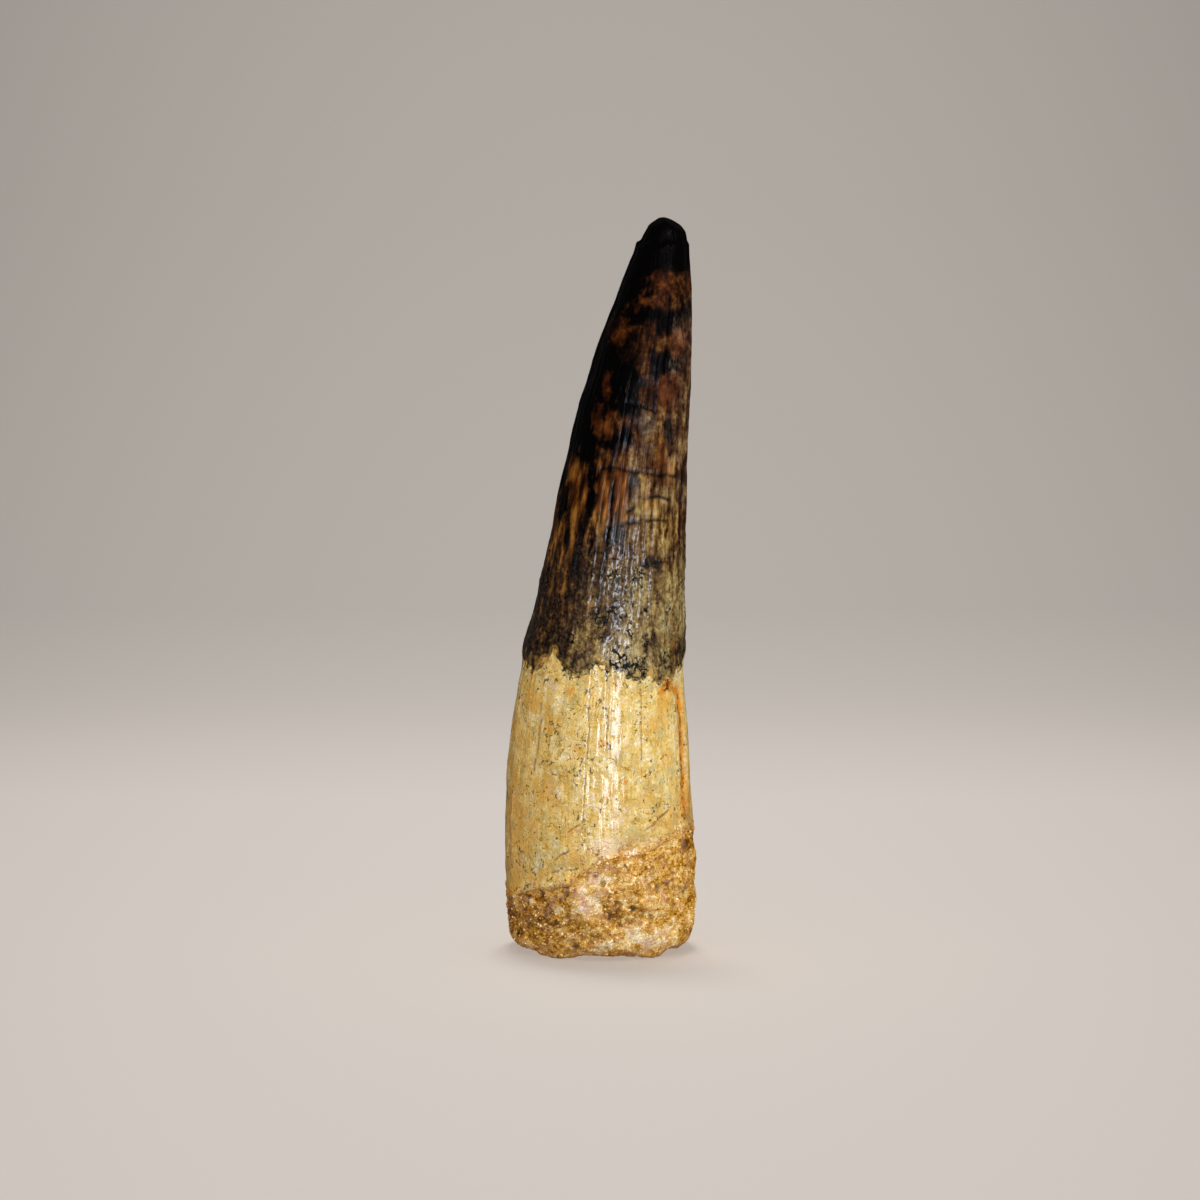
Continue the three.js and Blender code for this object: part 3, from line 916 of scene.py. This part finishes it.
def enamel_edge(tree, place, above_neck, patch, mottle):
    """Cover of the enamel near its scalloped lower edge, and the black line that runs along the edge."""
    steps = (1 / LOBE_SIZE,) * 3
    spot = add(tree, "ShaderNodeVectorMath", {0: place, 1: steps}, operation="MULTIPLY")
    lobes = add(tree, "ShaderNodeTexVoronoi", {"Vector": spot, "Scale": 1.0}, "Distance")
    rise = summed(tree, above_neck, (lobes, 0.5, 2.4), (mottle, 0.5, 1.8), (patch, 0.5, 3.2))
    away = add(tree, "ShaderNodeMath", {0: rise}, operation="ABSOLUTE")
    inked = add(tree, "ShaderNodeMapRange", {"Value": mottle, "From Min": 0.44, "From Max": 0.56})
    near = {"Value": away, "From Min": 0.28, "From Max": 0.08, "To Max": inked}
    cover = add(tree, "ShaderNodeMapRange", {"Value": rise, "From Min": -0.4, "From Max": 0.8})
    return cover, add(tree, "ShaderNodeMapRange", near)


def crazing(tree, place, size, width, strength):
    """Thin wandering lines between plates of the given sizes."""
    steps = (1 / 0.9,) * 3
    spot = add(tree, "ShaderNodeVectorMath", {0: place, 1: steps}, operation="MULTIPLY")
    wander = add(
        tree, "ShaderNodeTexNoise", {"Vector": spot, "Scale": 1.0, "Detail": 3.0}, "Color"
    )
    bent = {0: wander, 1: (1.3,) * 3, 2: place}
    bent = add(tree, "ShaderNodeVectorMath", bent, operation="MULTIPLY_ADD")
    steps = tuple(1 / length for length in size)
    spot = add(tree, "ShaderNodeVectorMath", {0: bent, 1: steps}, operation="MULTIPLY")
    apart = add(
        tree,
        "ShaderNodeTexVoronoi",
        {"Vector": spot, "Scale": 1.0},
        "Distance",
        feature="DISTANCE_TO_EDGE",
    )
    line = {"Value": apart, "From Min": width, "From Max": width * 0.25, "To Max": strength}
    return add(tree, "ShaderNodeMapRange", line)


def enamel_tone(tree, notes, noises, high):
    """How light the enamel is: the noises sway the tone about the noted one, not far above it."""
    streak, hair, patch, smear, fleck, mottle, _ = noises
    light, worn, pale = notes["light"], notes["worn"], notes["pale"]
    sway = summed(
        tree,
        0.0,
        (streak, 0.5, (1.5, 0.5, high)),
        (hair, 0.5, (0.4, 0.12, high)),
        (patch, 0.5, (1.1, 0.7, high)),
        (smear, 0.5, (0.5, 1.0, high)),
        (mottle, 0.5, (0.45, 1.15, worn)),
    )
    tone = summed(tree, light, (sway, 0.0, (1.0, 0.8, worn)))
    limit = summed(tree, 0.26, (light, 0.0, 1.0), (pale, 0.0, 0.2))
    tone = add(tree, "ShaderNodeMath", {0: tone, 1: limit}, operation="MINIMUM")
    # The flute grooves are a little darker: painted shade in them
    return summed(
        tree,
        tone,
        (fleck, 0.5, (0.35, 0.95, worn)),
        (notes["groove"], 0.2, -0.06),
        (notes["dark"], 0.0, -0.5),
        (pale, 0.0, 0.2),
        (notes["cap"], 0.0, -1.2),
    )


def enamel_colour(tree, notes, noises, high):
    """Black through brown to cream, with iron stains, grey bruises with painted highlight and sheen, and
    olive worn places.
    """
    streak, hair, _, smear, fleck, mottle, _ = noises
    light, worn = notes["light"], notes["worn"]

    # Streaks low on the crown turn to smeared blotches high on it.
    blotch = summed(tree, streak, (smear, streak, high))
    stops = (
        (0.0, "#020101"), (0.18, "#120804"), (0.34, "#32190a"), (0.48, "#503619"),
        (0.62, "#765d33"), (0.8, "#a08c58"), (1.0, "#cbb98c"),
    )
    colour = add(tree, "ShaderNodeValToRGB", {"Fac": enamel_tone(tree, notes, noises, high)}, stops=stops)

    # Iron stains, ochre low on the crown and russet high on it
    warm = summed(
        tree, notes["warm"], (blotch, 0.5, (2.2, 1.3, high)), (mottle, 0.5, (0.8, 0.45, high))
    )
    stops = ((0.34, "#200c03"), (0.5, "#4a220e"), (0.66, "#744016"))
    russet = add(tree, "ShaderNodeValToRGB", {"Fac": blotch}, stops=stops)
    stops = ((0.34, "#281204"), (0.5, "#623810"), (0.66, "#a87430"))
    ochre = add(tree, "ShaderNodeValToRGB", {"Fac": streak}, stops=stops)
    iron = painted(tree, ochre, (high, 0.0, 1.0, 1.0, russet))

    # Grey bruises where the enamel is thin, with painted highlight low in the middle along the key light's
    # reflection and a painted sheen at the rear edge. Gaps break it up in the worn margin.
    grey = summed(tree, notes["grey"], (hair, 0.5, 0.9), (mottle, 0.5, 0.8))
    most = add(tree, "ShaderNodeMapRange", {"Value": high, "To Min": 1.0, "To Max": 0.65})
    grey_and_sheen = {"Value": grey, "From Min": 0.35, "From Max": 1.15, "To Max": most}
    grey_and_sheen = add(tree, "ShaderNodeMapRange", grey_and_sheen)
    gaps = {"Value": fleck, "From Min": 0.58, "From Max": 0.44, "To Max": worn}
    gaps = add(tree, "ShaderNodeMapRange", gaps)
    grey_and_sheen = summed(tree, grey_and_sheen, (gaps, 0.0, -0.7))
    stops = ((0.36, "#17120f"), (0.5, "#51483f"), (0.66, "#978d82"))
    ash = add(tree, "ShaderNodeValToRGB", {"Fac": blotch}, stops=stops)

    # Olive and gold where the worn margin lets the dentine show through, weaker where the lightness is low,
    # as in the painted shade on the left side
    thin = summed(tree, 0.0, (worn, 0.0, 0.5), (fleck, 0.5, 1.6))
    lit = {"Value": light, "From Min": 0.26, "From Max": 0.48, "To Max": 0.55}
    lit = add(tree, "ShaderNodeMapRange", lit)
    stops = ((0.36, "#18120a"), (0.5, "#524524"), (0.63, "#a08a48"))
    olive = add(tree, "ShaderNodeValToRGB", {"Fac": mottle}, stops=stops)
    return painted(
        tree,
        colour,
        (warm, 0.25, 1.15, 1.0, iron),
        (grey_and_sheen, 0.0, 1.0, 1.0, ash),
        (thin, 0.3, 0.8, lit, olive),
    )


def enamel_lines(tree, place, notes, patch):
    """Black lines of crazing, broken up, crowded along the lower edge."""
    worn = notes["worn"]
    low = {"Value": notes["above_neck"], "From Min": 5.0, "From Max": 0.5}
    low = add(tree, "ShaderNodeMapRange", low)
    cracked = summed(tree, patch, (low, 0.0, 0.055), (notes["grey"], 0.0, 0.06))
    lines = {"Value": cracked, "From Min": 0.56, "From Max": 0.62, "To Max": worn}
    lines = add(tree, "ShaderNodeMapRange", lines)
    lines = crazing(tree, place, (1.0, 1.0, 1.5), 0.12, lines)
    web = {"Value": cracked, "From Min": 0.46, "From Max": 0.56, "To Max": worn}
    web = add(tree, "ShaderNodeMapRange", web)
    web = crazing(tree, place, (0.55, 0.55, 0.8), 0.19, web)
    return summed(tree, lines, (web, 0.0, 0.55))


def enamel():
    """Fossil enamel, stained by iron and manganese and polished by wear.

    The eye sees a deep gloss, with brown, ochre and black streaks that follow the flutes.
    """
    material, tree, place, notes = start_material(
        "fossil_enamel",
        ("light", "groove", "dark", "cap", "warm", "grey", "pale", "crack", "worn", "above_neck"),
    )
    flow = add(tree, "ShaderNodeAttribute", {}, "Vector", attribute_name="unrolled")
    noises = all_noises(
        tree,
        (
            (flow, (1.35, 1.35, 4.2), 3.0, 0.54, 0.0),
            (flow, (0.24, 0.24, 1.9), 2.0, 0.5, 0.0),
            (flow, *PATCH_NOISE),
            (place, (1.7, 1.7, 2.0), 4.0, 0.6, 60.0),
            (place, (0.38, 0.38, 0.45), 3.0, 0.65, 70.0),
            (place, *MOTTLE_NOISE),
            (place, (0.22, 0.22, 0.28), 3.0, 0.7, 0.0),
        ),
    )

    _, hair, patch, _, fleck, mottle, grit = noises
    worn = notes["worn"]
    height = add(tree, "ShaderNodeSeparateXYZ", {0: place}, "Z")
    high = add(tree, "ShaderNodeMapRange", {"Value": height, "From Min": 58.0, "From Max": 76.0})

    colour = enamel_colour(tree, notes, noises, high)

    # At its worn lower edge the enamel gives way to dentine, behind a ragged black line.
    cover, edge = enamel_edge(tree, place, notes["above_neck"], patch, mottle)
    colour = painted(tree, rgba("#c0994e"), (cover, 0.0, 1.0, 1.0, colour))

    black = lines = enamel_lines(tree, place, notes, patch)
    for other in (notes["crack"], edge):
        black = add(tree, "ShaderNodeMath", {0: black, 1: other}, operation="MAXIMUM")
    colour = painted(tree, colour, (black, 0.0, 1.0, 1.0, "#060403"))

    # Fine relief: hair-thin wrinkles along the flutes, and grit and crazing in the worn margin
    bare = add(tree, "ShaderNodeMapRange", {"Value": worn, "To Min": 0.12, "To Max": 1.0})
    grit = summed(tree, grit, (lines, 0.0, -0.3))
    grit = add(tree, "ShaderNodeMath", {0: grit, 1: bare}, operation="MULTIPLY")
    bump = {"Height": hair, "Strength": 0.4, "Distance": 0.04 * MM}
    bump = add(tree, "ShaderNodeBump", bump)
    bump = {"Height": grit, "Strength": 0.9, "Distance": 0.19 * MM, "Normal": bump}
    bump = add(tree, "ShaderNodeBump", bump)

    # The gloss is broken by flecks and cracks.
    gloss = {"Value": fleck, "From Min": 0.38, "From Max": 0.5, "To Max": bare}
    gloss = add(tree, "ShaderNodeMapRange", gloss)
    whole = summed(tree, 1.0, (black, 0.0, -0.9))
    gloss = add(tree, "ShaderNodeMath", {0: gloss, 1: whole}, operation="MULTIPLY")
    rough = {"Value": mottle, "From Min": 0.3, "From Max": 0.7, "To Min": 0.22, "To Max": 0.45}
    inputs = {
        "Base Color": colour,
        "Roughness": add(tree, "ShaderNodeMapRange", rough),
        "Specular IOR Level": summed(tree, 0.1, (worn, 0.0, 0.25)),
        "Coat Weight": gloss,
        "Coat Roughness": summed(tree, 0.12, (worn, 0.0, 0.08)),
        "Normal": bump,
    }
    end_material(tree, inputs)
    return material


def dentine_colour(tree, notes, noises, web):
    """Cream with ochre, grey and pink clouds, iron stains, hairline cracks and specks."""
    fibre, cloud, _, mottle, grain, ochre, ash, pink, dash, scatter, clump, _ = noises
    tone = summed(
        tree, 0.56, (cloud, 0.5, 1.3), (fibre, 0.5, 0.7), (mottle, 0.5, 1.7), (grain, 0.5, 0.8)
    )
    stops = (
        (0.05, "#a07d38"), (0.25, "#c29b48"), (0.43, "#d8b763"), (0.6, "#e4ca81"),
        (0.78, "#eedda9"), (0.95, "#faf2d8"),
    )
    colour = add(tree, "ShaderNodeValToRGB", {"Fac": tone}, stops=stops)

    # Yellow ochre clouds, greyer ones, pink blots and chalky patches
    ochre = summed(tree, ochre, (notes["ochre"], 0.0, 0.16), (mottle, 0.5, 0.25))
    chalk = summed(tree, 0.0, (notes["blush"], 0.0, 0.75), (mottle, 0.5, 2.2))
    colour = painted(
        tree,
        colour,
        (ochre, 0.54, 0.66, 0.7, "#d8a443"),
        (ash, 0.52, 0.64, 0.6, "#b0a26c"),
        (pink, 0.57, 0.68, 0.55, "#cf8a4c"),
        (chalk, 0.25, 0.7, 0.8, "#f0d7b4"),
    )

    # Orange iron stain along the split and in the marks, then the hairline cracks
    stain = summed(tree, notes["stain"], (mottle, 0.5, 2.4))
    stain = add(tree, "ShaderNodeMath", {0: stain, 1: notes["split"]}, operation="MAXIMUM")
    ink = {"Value": mottle, "From Min": 0.48, "From Max": 0.56, "To Max": 0.8}
    ink = add(tree, "ShaderNodeMapRange", ink)
    colour = painted(
        tree,
        colour,
        (stain, 0.25, 0.95, 1.0, "#d2861a"),
        (notes["split"], 0.78, 0.94, ink, "#54300c"),
        (web, 0.0, 1.0, 0.35, "#7d5a26"),
    )

    # Manganese specks: short thin dashes, denser in the sooty patches
    dash = add(tree, "ShaderNodeMath", {0: dash, 1: 0.5}, operation="SUBTRACT")
    dash = add(tree, "ShaderNodeMath", {0: dash}, operation="ABSOLUTE")
    dense = summed(tree, scatter, (notes["soot"], 0.0, 0.2), (clump, 0.5, 0.7))
    dense = {"Value": dense, "From Min": 0.585, "From Max": 0.61, "To Max": 0.8}
    dense = add(tree, "ShaderNodeMapRange", dense)
    soot = summed(tree, notes["soot"], (mottle, 0.5, 2.6))
    shown = {"Value": mottle, "From Min": 0.34, "From Max": 0.48, "To Max": 0.8}
    shown = add(tree, "ShaderNodeMapRange", shown)
    return painted(
        tree,
        colour,
        (soot, 0.35, 1.6, 0.8, "#6f6750"),
        (dash, 0.034, 0.016, dense, "#2e2618"),
        (notes["crack"], 0.0, 1.0, shown, "#6a3f16"),
    )


def dentine():
    """Fossil dentine of the root, cream where clean and stained by iron along its cracks.

    The eye sees a satin, waxy surface with long fibres, small black specks and orange seams.
    """
    material, tree, place, notes = start_material(
        "fossil_dentine",
        ("crack", "split", "stain", "ochre", "blush", "soot", "above_neck", "above_break"),
    )
    flow = add(tree, "ShaderNodeAttribute", {}, "Vector", attribute_name="unrolled")
    noises = all_noises(
        tree,
        (
            (flow, (0.4, 0.4, 3.0), 3.0, 0.6, 0.0),
            (flow, (1.9, 1.9, 2.8), 4.0, 0.62, 0.0),
            (flow, *PATCH_NOISE),
            (place, *MOTTLE_NOISE),
            (place, (0.3, 0.3, 0.3), 3.0, 0.7, 0.0),
            (place, (2.6, 2.6, 3.4), 4.0, 0.6, 4.0),
            (place, (1.8, 1.8, 2.0), 4.0, 0.6, 14.0),
            (place, (0.8, 0.8, 0.8), 4.0, 0.65, 9.0),
            (place, (1.0, 1.0, 1.3), 2.0, 0.55, 21.0),
            (place, (0.62, 0.62, 0.62), 2.0, 0.6, 33.0),
            (place, (2.6, 2.6, 2.6), 2.0, 0.5, 5.0),
            (place, (0.9, 0.9, 1.4), 4.0, 0.7, 51.0),
        ),
    )
    fibre, cloud, patch, mottle, grain, *_, wax = noises

    # A web of hairline cracks in the varnished surface
    web = add(tree, "ShaderNodeMapRange", {"Value": mottle, "From Min": 0.46, "From Max": 0.56})
    web = crazing(tree, place, (0.55, 0.55, 0.8), 0.16, web)
    colour = dentine_colour(tree, notes, noises, web)

    # The enamel's ragged edge, with thin black lines below it
    cover, edge = enamel_edge(tree, place, notes["above_neck"], patch, mottle)
    near = summed(tree, notes["above_neck"], (patch, 0.5, 9.0))
    near = add(tree, "ShaderNodeMapRange", {"Value": near, "From Min": -1.2, "From Max": -0.2})
    craze = crazing(tree, place, (1.0, 1.0, 1.5), 0.12, near)
    craze = add(tree, "ShaderNodeMath", {0: craze, 1: edge}, operation="MAXIMUM")

    # Sand cemented to the root just above the break
    sandy = summed(
        tree,
        0.0,
        (notes["above_break"], 0.0, -1.0),
        (mottle, 0.5, 9.0),
        (cloud, 0.5, 6.0),
        (notes["ochre"], 0.0, -3.0),
    )
    stops = ((0.35, "#8a5a20"), (0.5, "#bf8c46"), (0.62, "#dcb67a"), (0.72, "#f2e0bb"))
    sand = add(tree, "ShaderNodeValToRGB", {"Fac": grain}, stops=stops)
    colour = painted(
        tree,
        colour,
        (cover, 0.0, 1.0, 1.0, "#54431f"),
        (craze, 0.0, 1.0, 1.0, "#0c0806"),
        (sandy, -1.3, -0.7, 0.9, sand),
    )

    # Fine relief: fibres, then dents and hairline cracks
    dents = summed(tree, grain, (mottle, 0.5, 1.2), (web, 0.0, -0.25))
    bump = {"Height": fibre, "Strength": 0.6, "Distance": 0.1 * MM}
    bump = add(tree, "ShaderNodeBump", bump)
    bump = {"Height": dents, "Strength": 0.9, "Distance": 0.2 * MM, "Normal": bump}
    bump = add(tree, "ShaderNodeBump", bump)
    rough = {"Value": mottle, "From Min": 0.3, "From Max": 0.7, "To Min": 0.28, "To Max": 0.5}
    waxed = {"Value": wax, "From Min": 0.36, "From Max": 0.52}
    inputs = {
        "Base Color": colour,
        "Roughness": add(tree, "ShaderNodeMapRange", rough),
        "Specular IOR Level": 0.35,
        "Coat Weight": add(tree, "ShaderNodeMapRange", waxed),
        "Coat Roughness": 0.16,
        "Normal": bump,
    }
    end_material(tree, inputs)
    return material


def sandstone(name, lift):
    """Desert sandstone: quartz grains cemented with iron oxide, broken rough.

    The eye sees golden brown grit with bright glassy grains and dark gaps between them. Loose
    grains have no gaps and are paler by lift.
    """
    noted = ("grain", "gap", "hollow", "pale", "dark")
    material, tree, place, notes = start_material(name, noted)
    patch, mottle, speckle, blush = all_noises(
        tree,
        (
            (place, (2.6, 2.6, 2.2), 4.0, 0.62, 0.0),
            (place, (0.7, 0.7, 0.6), 5.0, 0.7, 0.0),
            (place, (0.2, 0.2, 0.2), 3.0, 0.7, 0.0),
            (place, (1.9, 1.9, 1.9), 4.0, 0.6, 3.0),
        ),
    )
    steps = (1 / 0.5, 1 / 0.5, 1 / 0.42)
    spot = add(tree, "ShaderNodeVectorMath", {0: place, 1: steps}, operation="MULTIPLY")
    chips = add(tree, "ShaderNodeTexVoronoi", {"Vector": spot, "Scale": 1.0}, "Color")
    chip = add(tree, "ShaderNodeSeparateColor", {"Color": chips}, "Red")
    tone = summed(
        tree,
        0.45 + lift,
        (notes["grain"], 0.5, 0.2),
        (chip, 0.5, 0.3),
        (patch, 0.5, 1.35),
        (mottle, 0.5, 1.3),
        (speckle, 0.5, 1.5),
        (notes["pale"], 0.0, 0.38),
        (notes["dark"], 0.0, -0.42),
    )
    stops = (
        (0.0, "#4e2f02"), (0.17, "#875704"), (0.34, "#b57e16"), (0.5, "#cf9c3c"),
        (0.66, "#e0bb6e"), (0.82, "#f0d9a2"), (1.0, "#fcf2da"),
    )
    colour = add(tree, "ShaderNodeValToRGB", {"Fac": tone}, stops=stops)

    # Pink quartz in the pale patches, and rust near the ground
    pink = summed(tree, 0.22, (notes["pale"], 0.0, 0.6))
    height = add(tree, "ShaderNodeSeparateXYZ", {0: place}, "Z")
    rusty = {"Value": patch, "From Min": 0.42, "From Max": 0.55, "To Max": 0.45}
    rusty = add(tree, "ShaderNodeMapRange", rusty)
    colour = painted(
        tree, colour, (blush, 0.5, 0.62, pink, "#cda28e"), (height, 2.2, 0.5, rusty, "#b0622a")
    )
    # Dark brown gaps between the grains, and painted shade in the pits and in the hole of the knob
    if lift == 0:
        gap, hollow = notes["gap"], notes["hollow"]
        colour = painted(
            tree, colour, (gap, 0.5, 0.0, 0.3, "#6b4216"), (hollow, 0.0, 1.0, 0.75, "#3a2110")
        )
    bump = {"Height": speckle, "Strength": 0.8, "Distance": 0.16 * MM}
    rough = {"Value": notes["grain"], "To Min": 0.6, "To Max": 0.2}
    inputs = {
        "Base Color": colour,
        "Roughness": add(tree, "ShaderNodeMapRange", rough),
        "IOR": 1.54,
        "Normal": add(tree, "ShaderNodeBump", bump),
    }
    end_material(tree, inputs)
    return material


def studio_paper():
    """Matt studio paper, with painted light and shade in its colour: paler underfoot and deeper grey where
    it sweeps up behind.
    """
    material, tree, place, _ = start_material("studio_paper")
    x, y, z = (add(tree, "ShaderNodeSeparateXYZ", {0: place}, axis) for axis in "XYZ")
    along = add(tree, "ShaderNodeMath", {0: y, 1: z}, operation="ADD")
    along = add(tree, "ShaderNodeMapRange", {"Value": along, "From Max": PAPER_RUN})
    colour = add(tree, "ShaderNodeValToRGB", {"Fac": along}, stops=PAPER_TONES_AND_SHADE)

    # The light falls off gently to both sides.
    sideways = add(tree, "ShaderNodeMath", {0: x, 1: x}, operation="MULTIPLY")
    level = summed(tree, 1.0, (sideways, 0.0, PAPER_LIGHT_FALL))
    colour = add(tree, "ShaderNodeVectorMath", {0: colour, "Scale": level}, operation="SCALE")
    end_material(tree, {"Base Color": colour, "Roughness": 0.9, "Specular IOR Level": 0.1})
    return material


# The object

crown = make_crown()
root = make_root()
stone, stone_points, stone_normals, stone_above = make_stone()
grains = make_loose_grains(stone_points, stone_normals, stone_above)

crown.data.materials.append(enamel())
root.data.materials.append(dentine())
stone.data.materials.append(sandstone("sandstone", 0))
grains.data.materials.append(sandstone("quartz_sand", 0.18))

for piece, node, slot in (
    (crown, "tooth", "fossil_tooth"),
    (root, "tooth", "fossil_tooth"),
    (stone, "sandstone", "sandstone"),
    (grains, "sandstone", "sandstone"),
):
    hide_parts(node)
    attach(piece, "root")


# The studio

def make_sweep():
    """A sheet of paper that lies under the tooth and curves up behind it, to just above the picture."""
    profile = [(-SWEEP_REACH, 0.0), (SWEEP_START, 0.0)]
    steps = 32
    last_turn = math.acos(1 - SWEEP_TOP / SWEEP_RADIUS)
    for i in range(1, steps + 1):
        turn = i / steps * last_turn
        profile.append(
            (SWEEP_START + SWEEP_RADIUS * math.sin(turn), SWEEP_RADIUS * (1 - math.cos(turn)))
        )
    points = np.array([(x, y, z) for y, z in profile for x in (-SWEEP_REACH, SWEEP_REACH)])
    quads = np.array([(2 * i, 2 * i + 1, 2 * i + 3, 2 * i + 2) for i in range(len(profile) - 1)])
    sweep = make_mesh("paper_sweep", points, quads)
    sweep.data.materials.append(studio_paper())
    return sweep


def add_light(name, width, height, azimuth, elevation, distance, watts, colour, only, lean=0, shines=False):
    """A soft box aimed at the middle of the tooth. Azimuth 0 is the camera's side, 90 the rear edge's.

    It is seen in glossy surfaces only where shines is True.
    """
    lamp = bpy.data.lights.new(name, "AREA")
    lamp.shape = "RECTANGLE"
    lamp.size = width * MM
    lamp.size_y = height * MM
    lamp.energy = watts
    lamp.color = rgba(colour)[:3]
    light = bpy.data.objects.new(name, lamp)
    bpy.context.scene.collection.objects.link(light)
    around, up = math.radians(azimuth), math.radians(elevation)
    away = Vector((math.sin(around) * math.cos(up), -math.cos(around) * math.cos(up), math.sin(up)))
    light.location = (Vector(LIGHT_AIM) + away * distance) * MM
    light.rotation_mode = "QUATERNION"
    turn = Quaternion((0.0, 0.0, 1.0), math.radians(lean))
    light.rotation_quaternion = away.to_track_quat("Z", "Y") @ turn
    light.light_linking.receiver_collection = only
    light.visible_camera = False
    light.visible_glossy = shines
    return light


def lit_group(name, objects):
    """A collection that a lamp can be limited to."""
    group = bpy.data.collections.new(name)
    for thing in objects:
        group.objects.link(thing)
    return group


sweep = make_sweep()
sweep.visible_glossy = False
on_tooth = lit_group("lit_tooth", (crown, root, stone, grains))
on_paper = lit_group("lit_paper", (sweep,))

world = bpy.data.worlds.new("studio_air")
world.use_nodes = True
world.node_tree.nodes["Background"].inputs["Color"].default_value = rgba("#fbf9f6")
world.node_tree.nodes["Background"].inputs["Strength"].default_value = 0.05
bpy.context.scene.world = world

overhead = add_light("overhead", 1500, 1500, 0, 89, 1100, 12.6, "#fffcfa", on_paper)
overhead.light_linking.blocker_collection = on_paper
add_light("shadow_lamp", 220, 140, 180, 78, 1000, 2.9, "#fffcfa", on_paper)
add_light("key_strip", 30, 84, 12.5, -1.5, 170, 0.145, "#dce6fa", on_tooth, lean=-24, shines=True)
add_light("right_box", 90, 90, 64, 38, 500, 2.15, "#fff6e2", on_tooth)
add_light("left_box", 90, 90, -60, 44, 500, 1.3, "#ffeac4", on_tooth)
add_light("front_box", 70, 70, 4, 56, 520, 0.6, "#fffaf2", on_tooth)
add_light("back_box", 160, 160, 176, 42, 600, 1.6, "#fff8ec", on_tooth)
add_light("spark", 14, 14, 35, 30, 300, 0.03, "#ffffff", on_tooth, shines=True)

camera_data = bpy.data.cameras.new("camera")
camera_data.lens = CAMERA_LENS
camera_data.sensor_width = CAMERA_SENSOR
camera_data.clip_start = 0.01
camera_data.clip_end = 20.0
camera = bpy.data.objects.new("camera", camera_data)
bpy.context.scene.collection.objects.link(camera)
elevation = math.radians(CAMERA_ELEVATION)
back = Vector((0.0, -math.cos(elevation), math.sin(elevation)))
camera.location = (Vector(CAMERA_TARGET) + back * CAMERA_DISTANCE) * MM
camera.rotation_mode = "QUATERNION"
camera.rotation_quaternion = back.to_track_quat("Z", "Y")
bpy.context.scene.camera = camera
bpy.context.scene.view_settings.view_transform = "Standard"
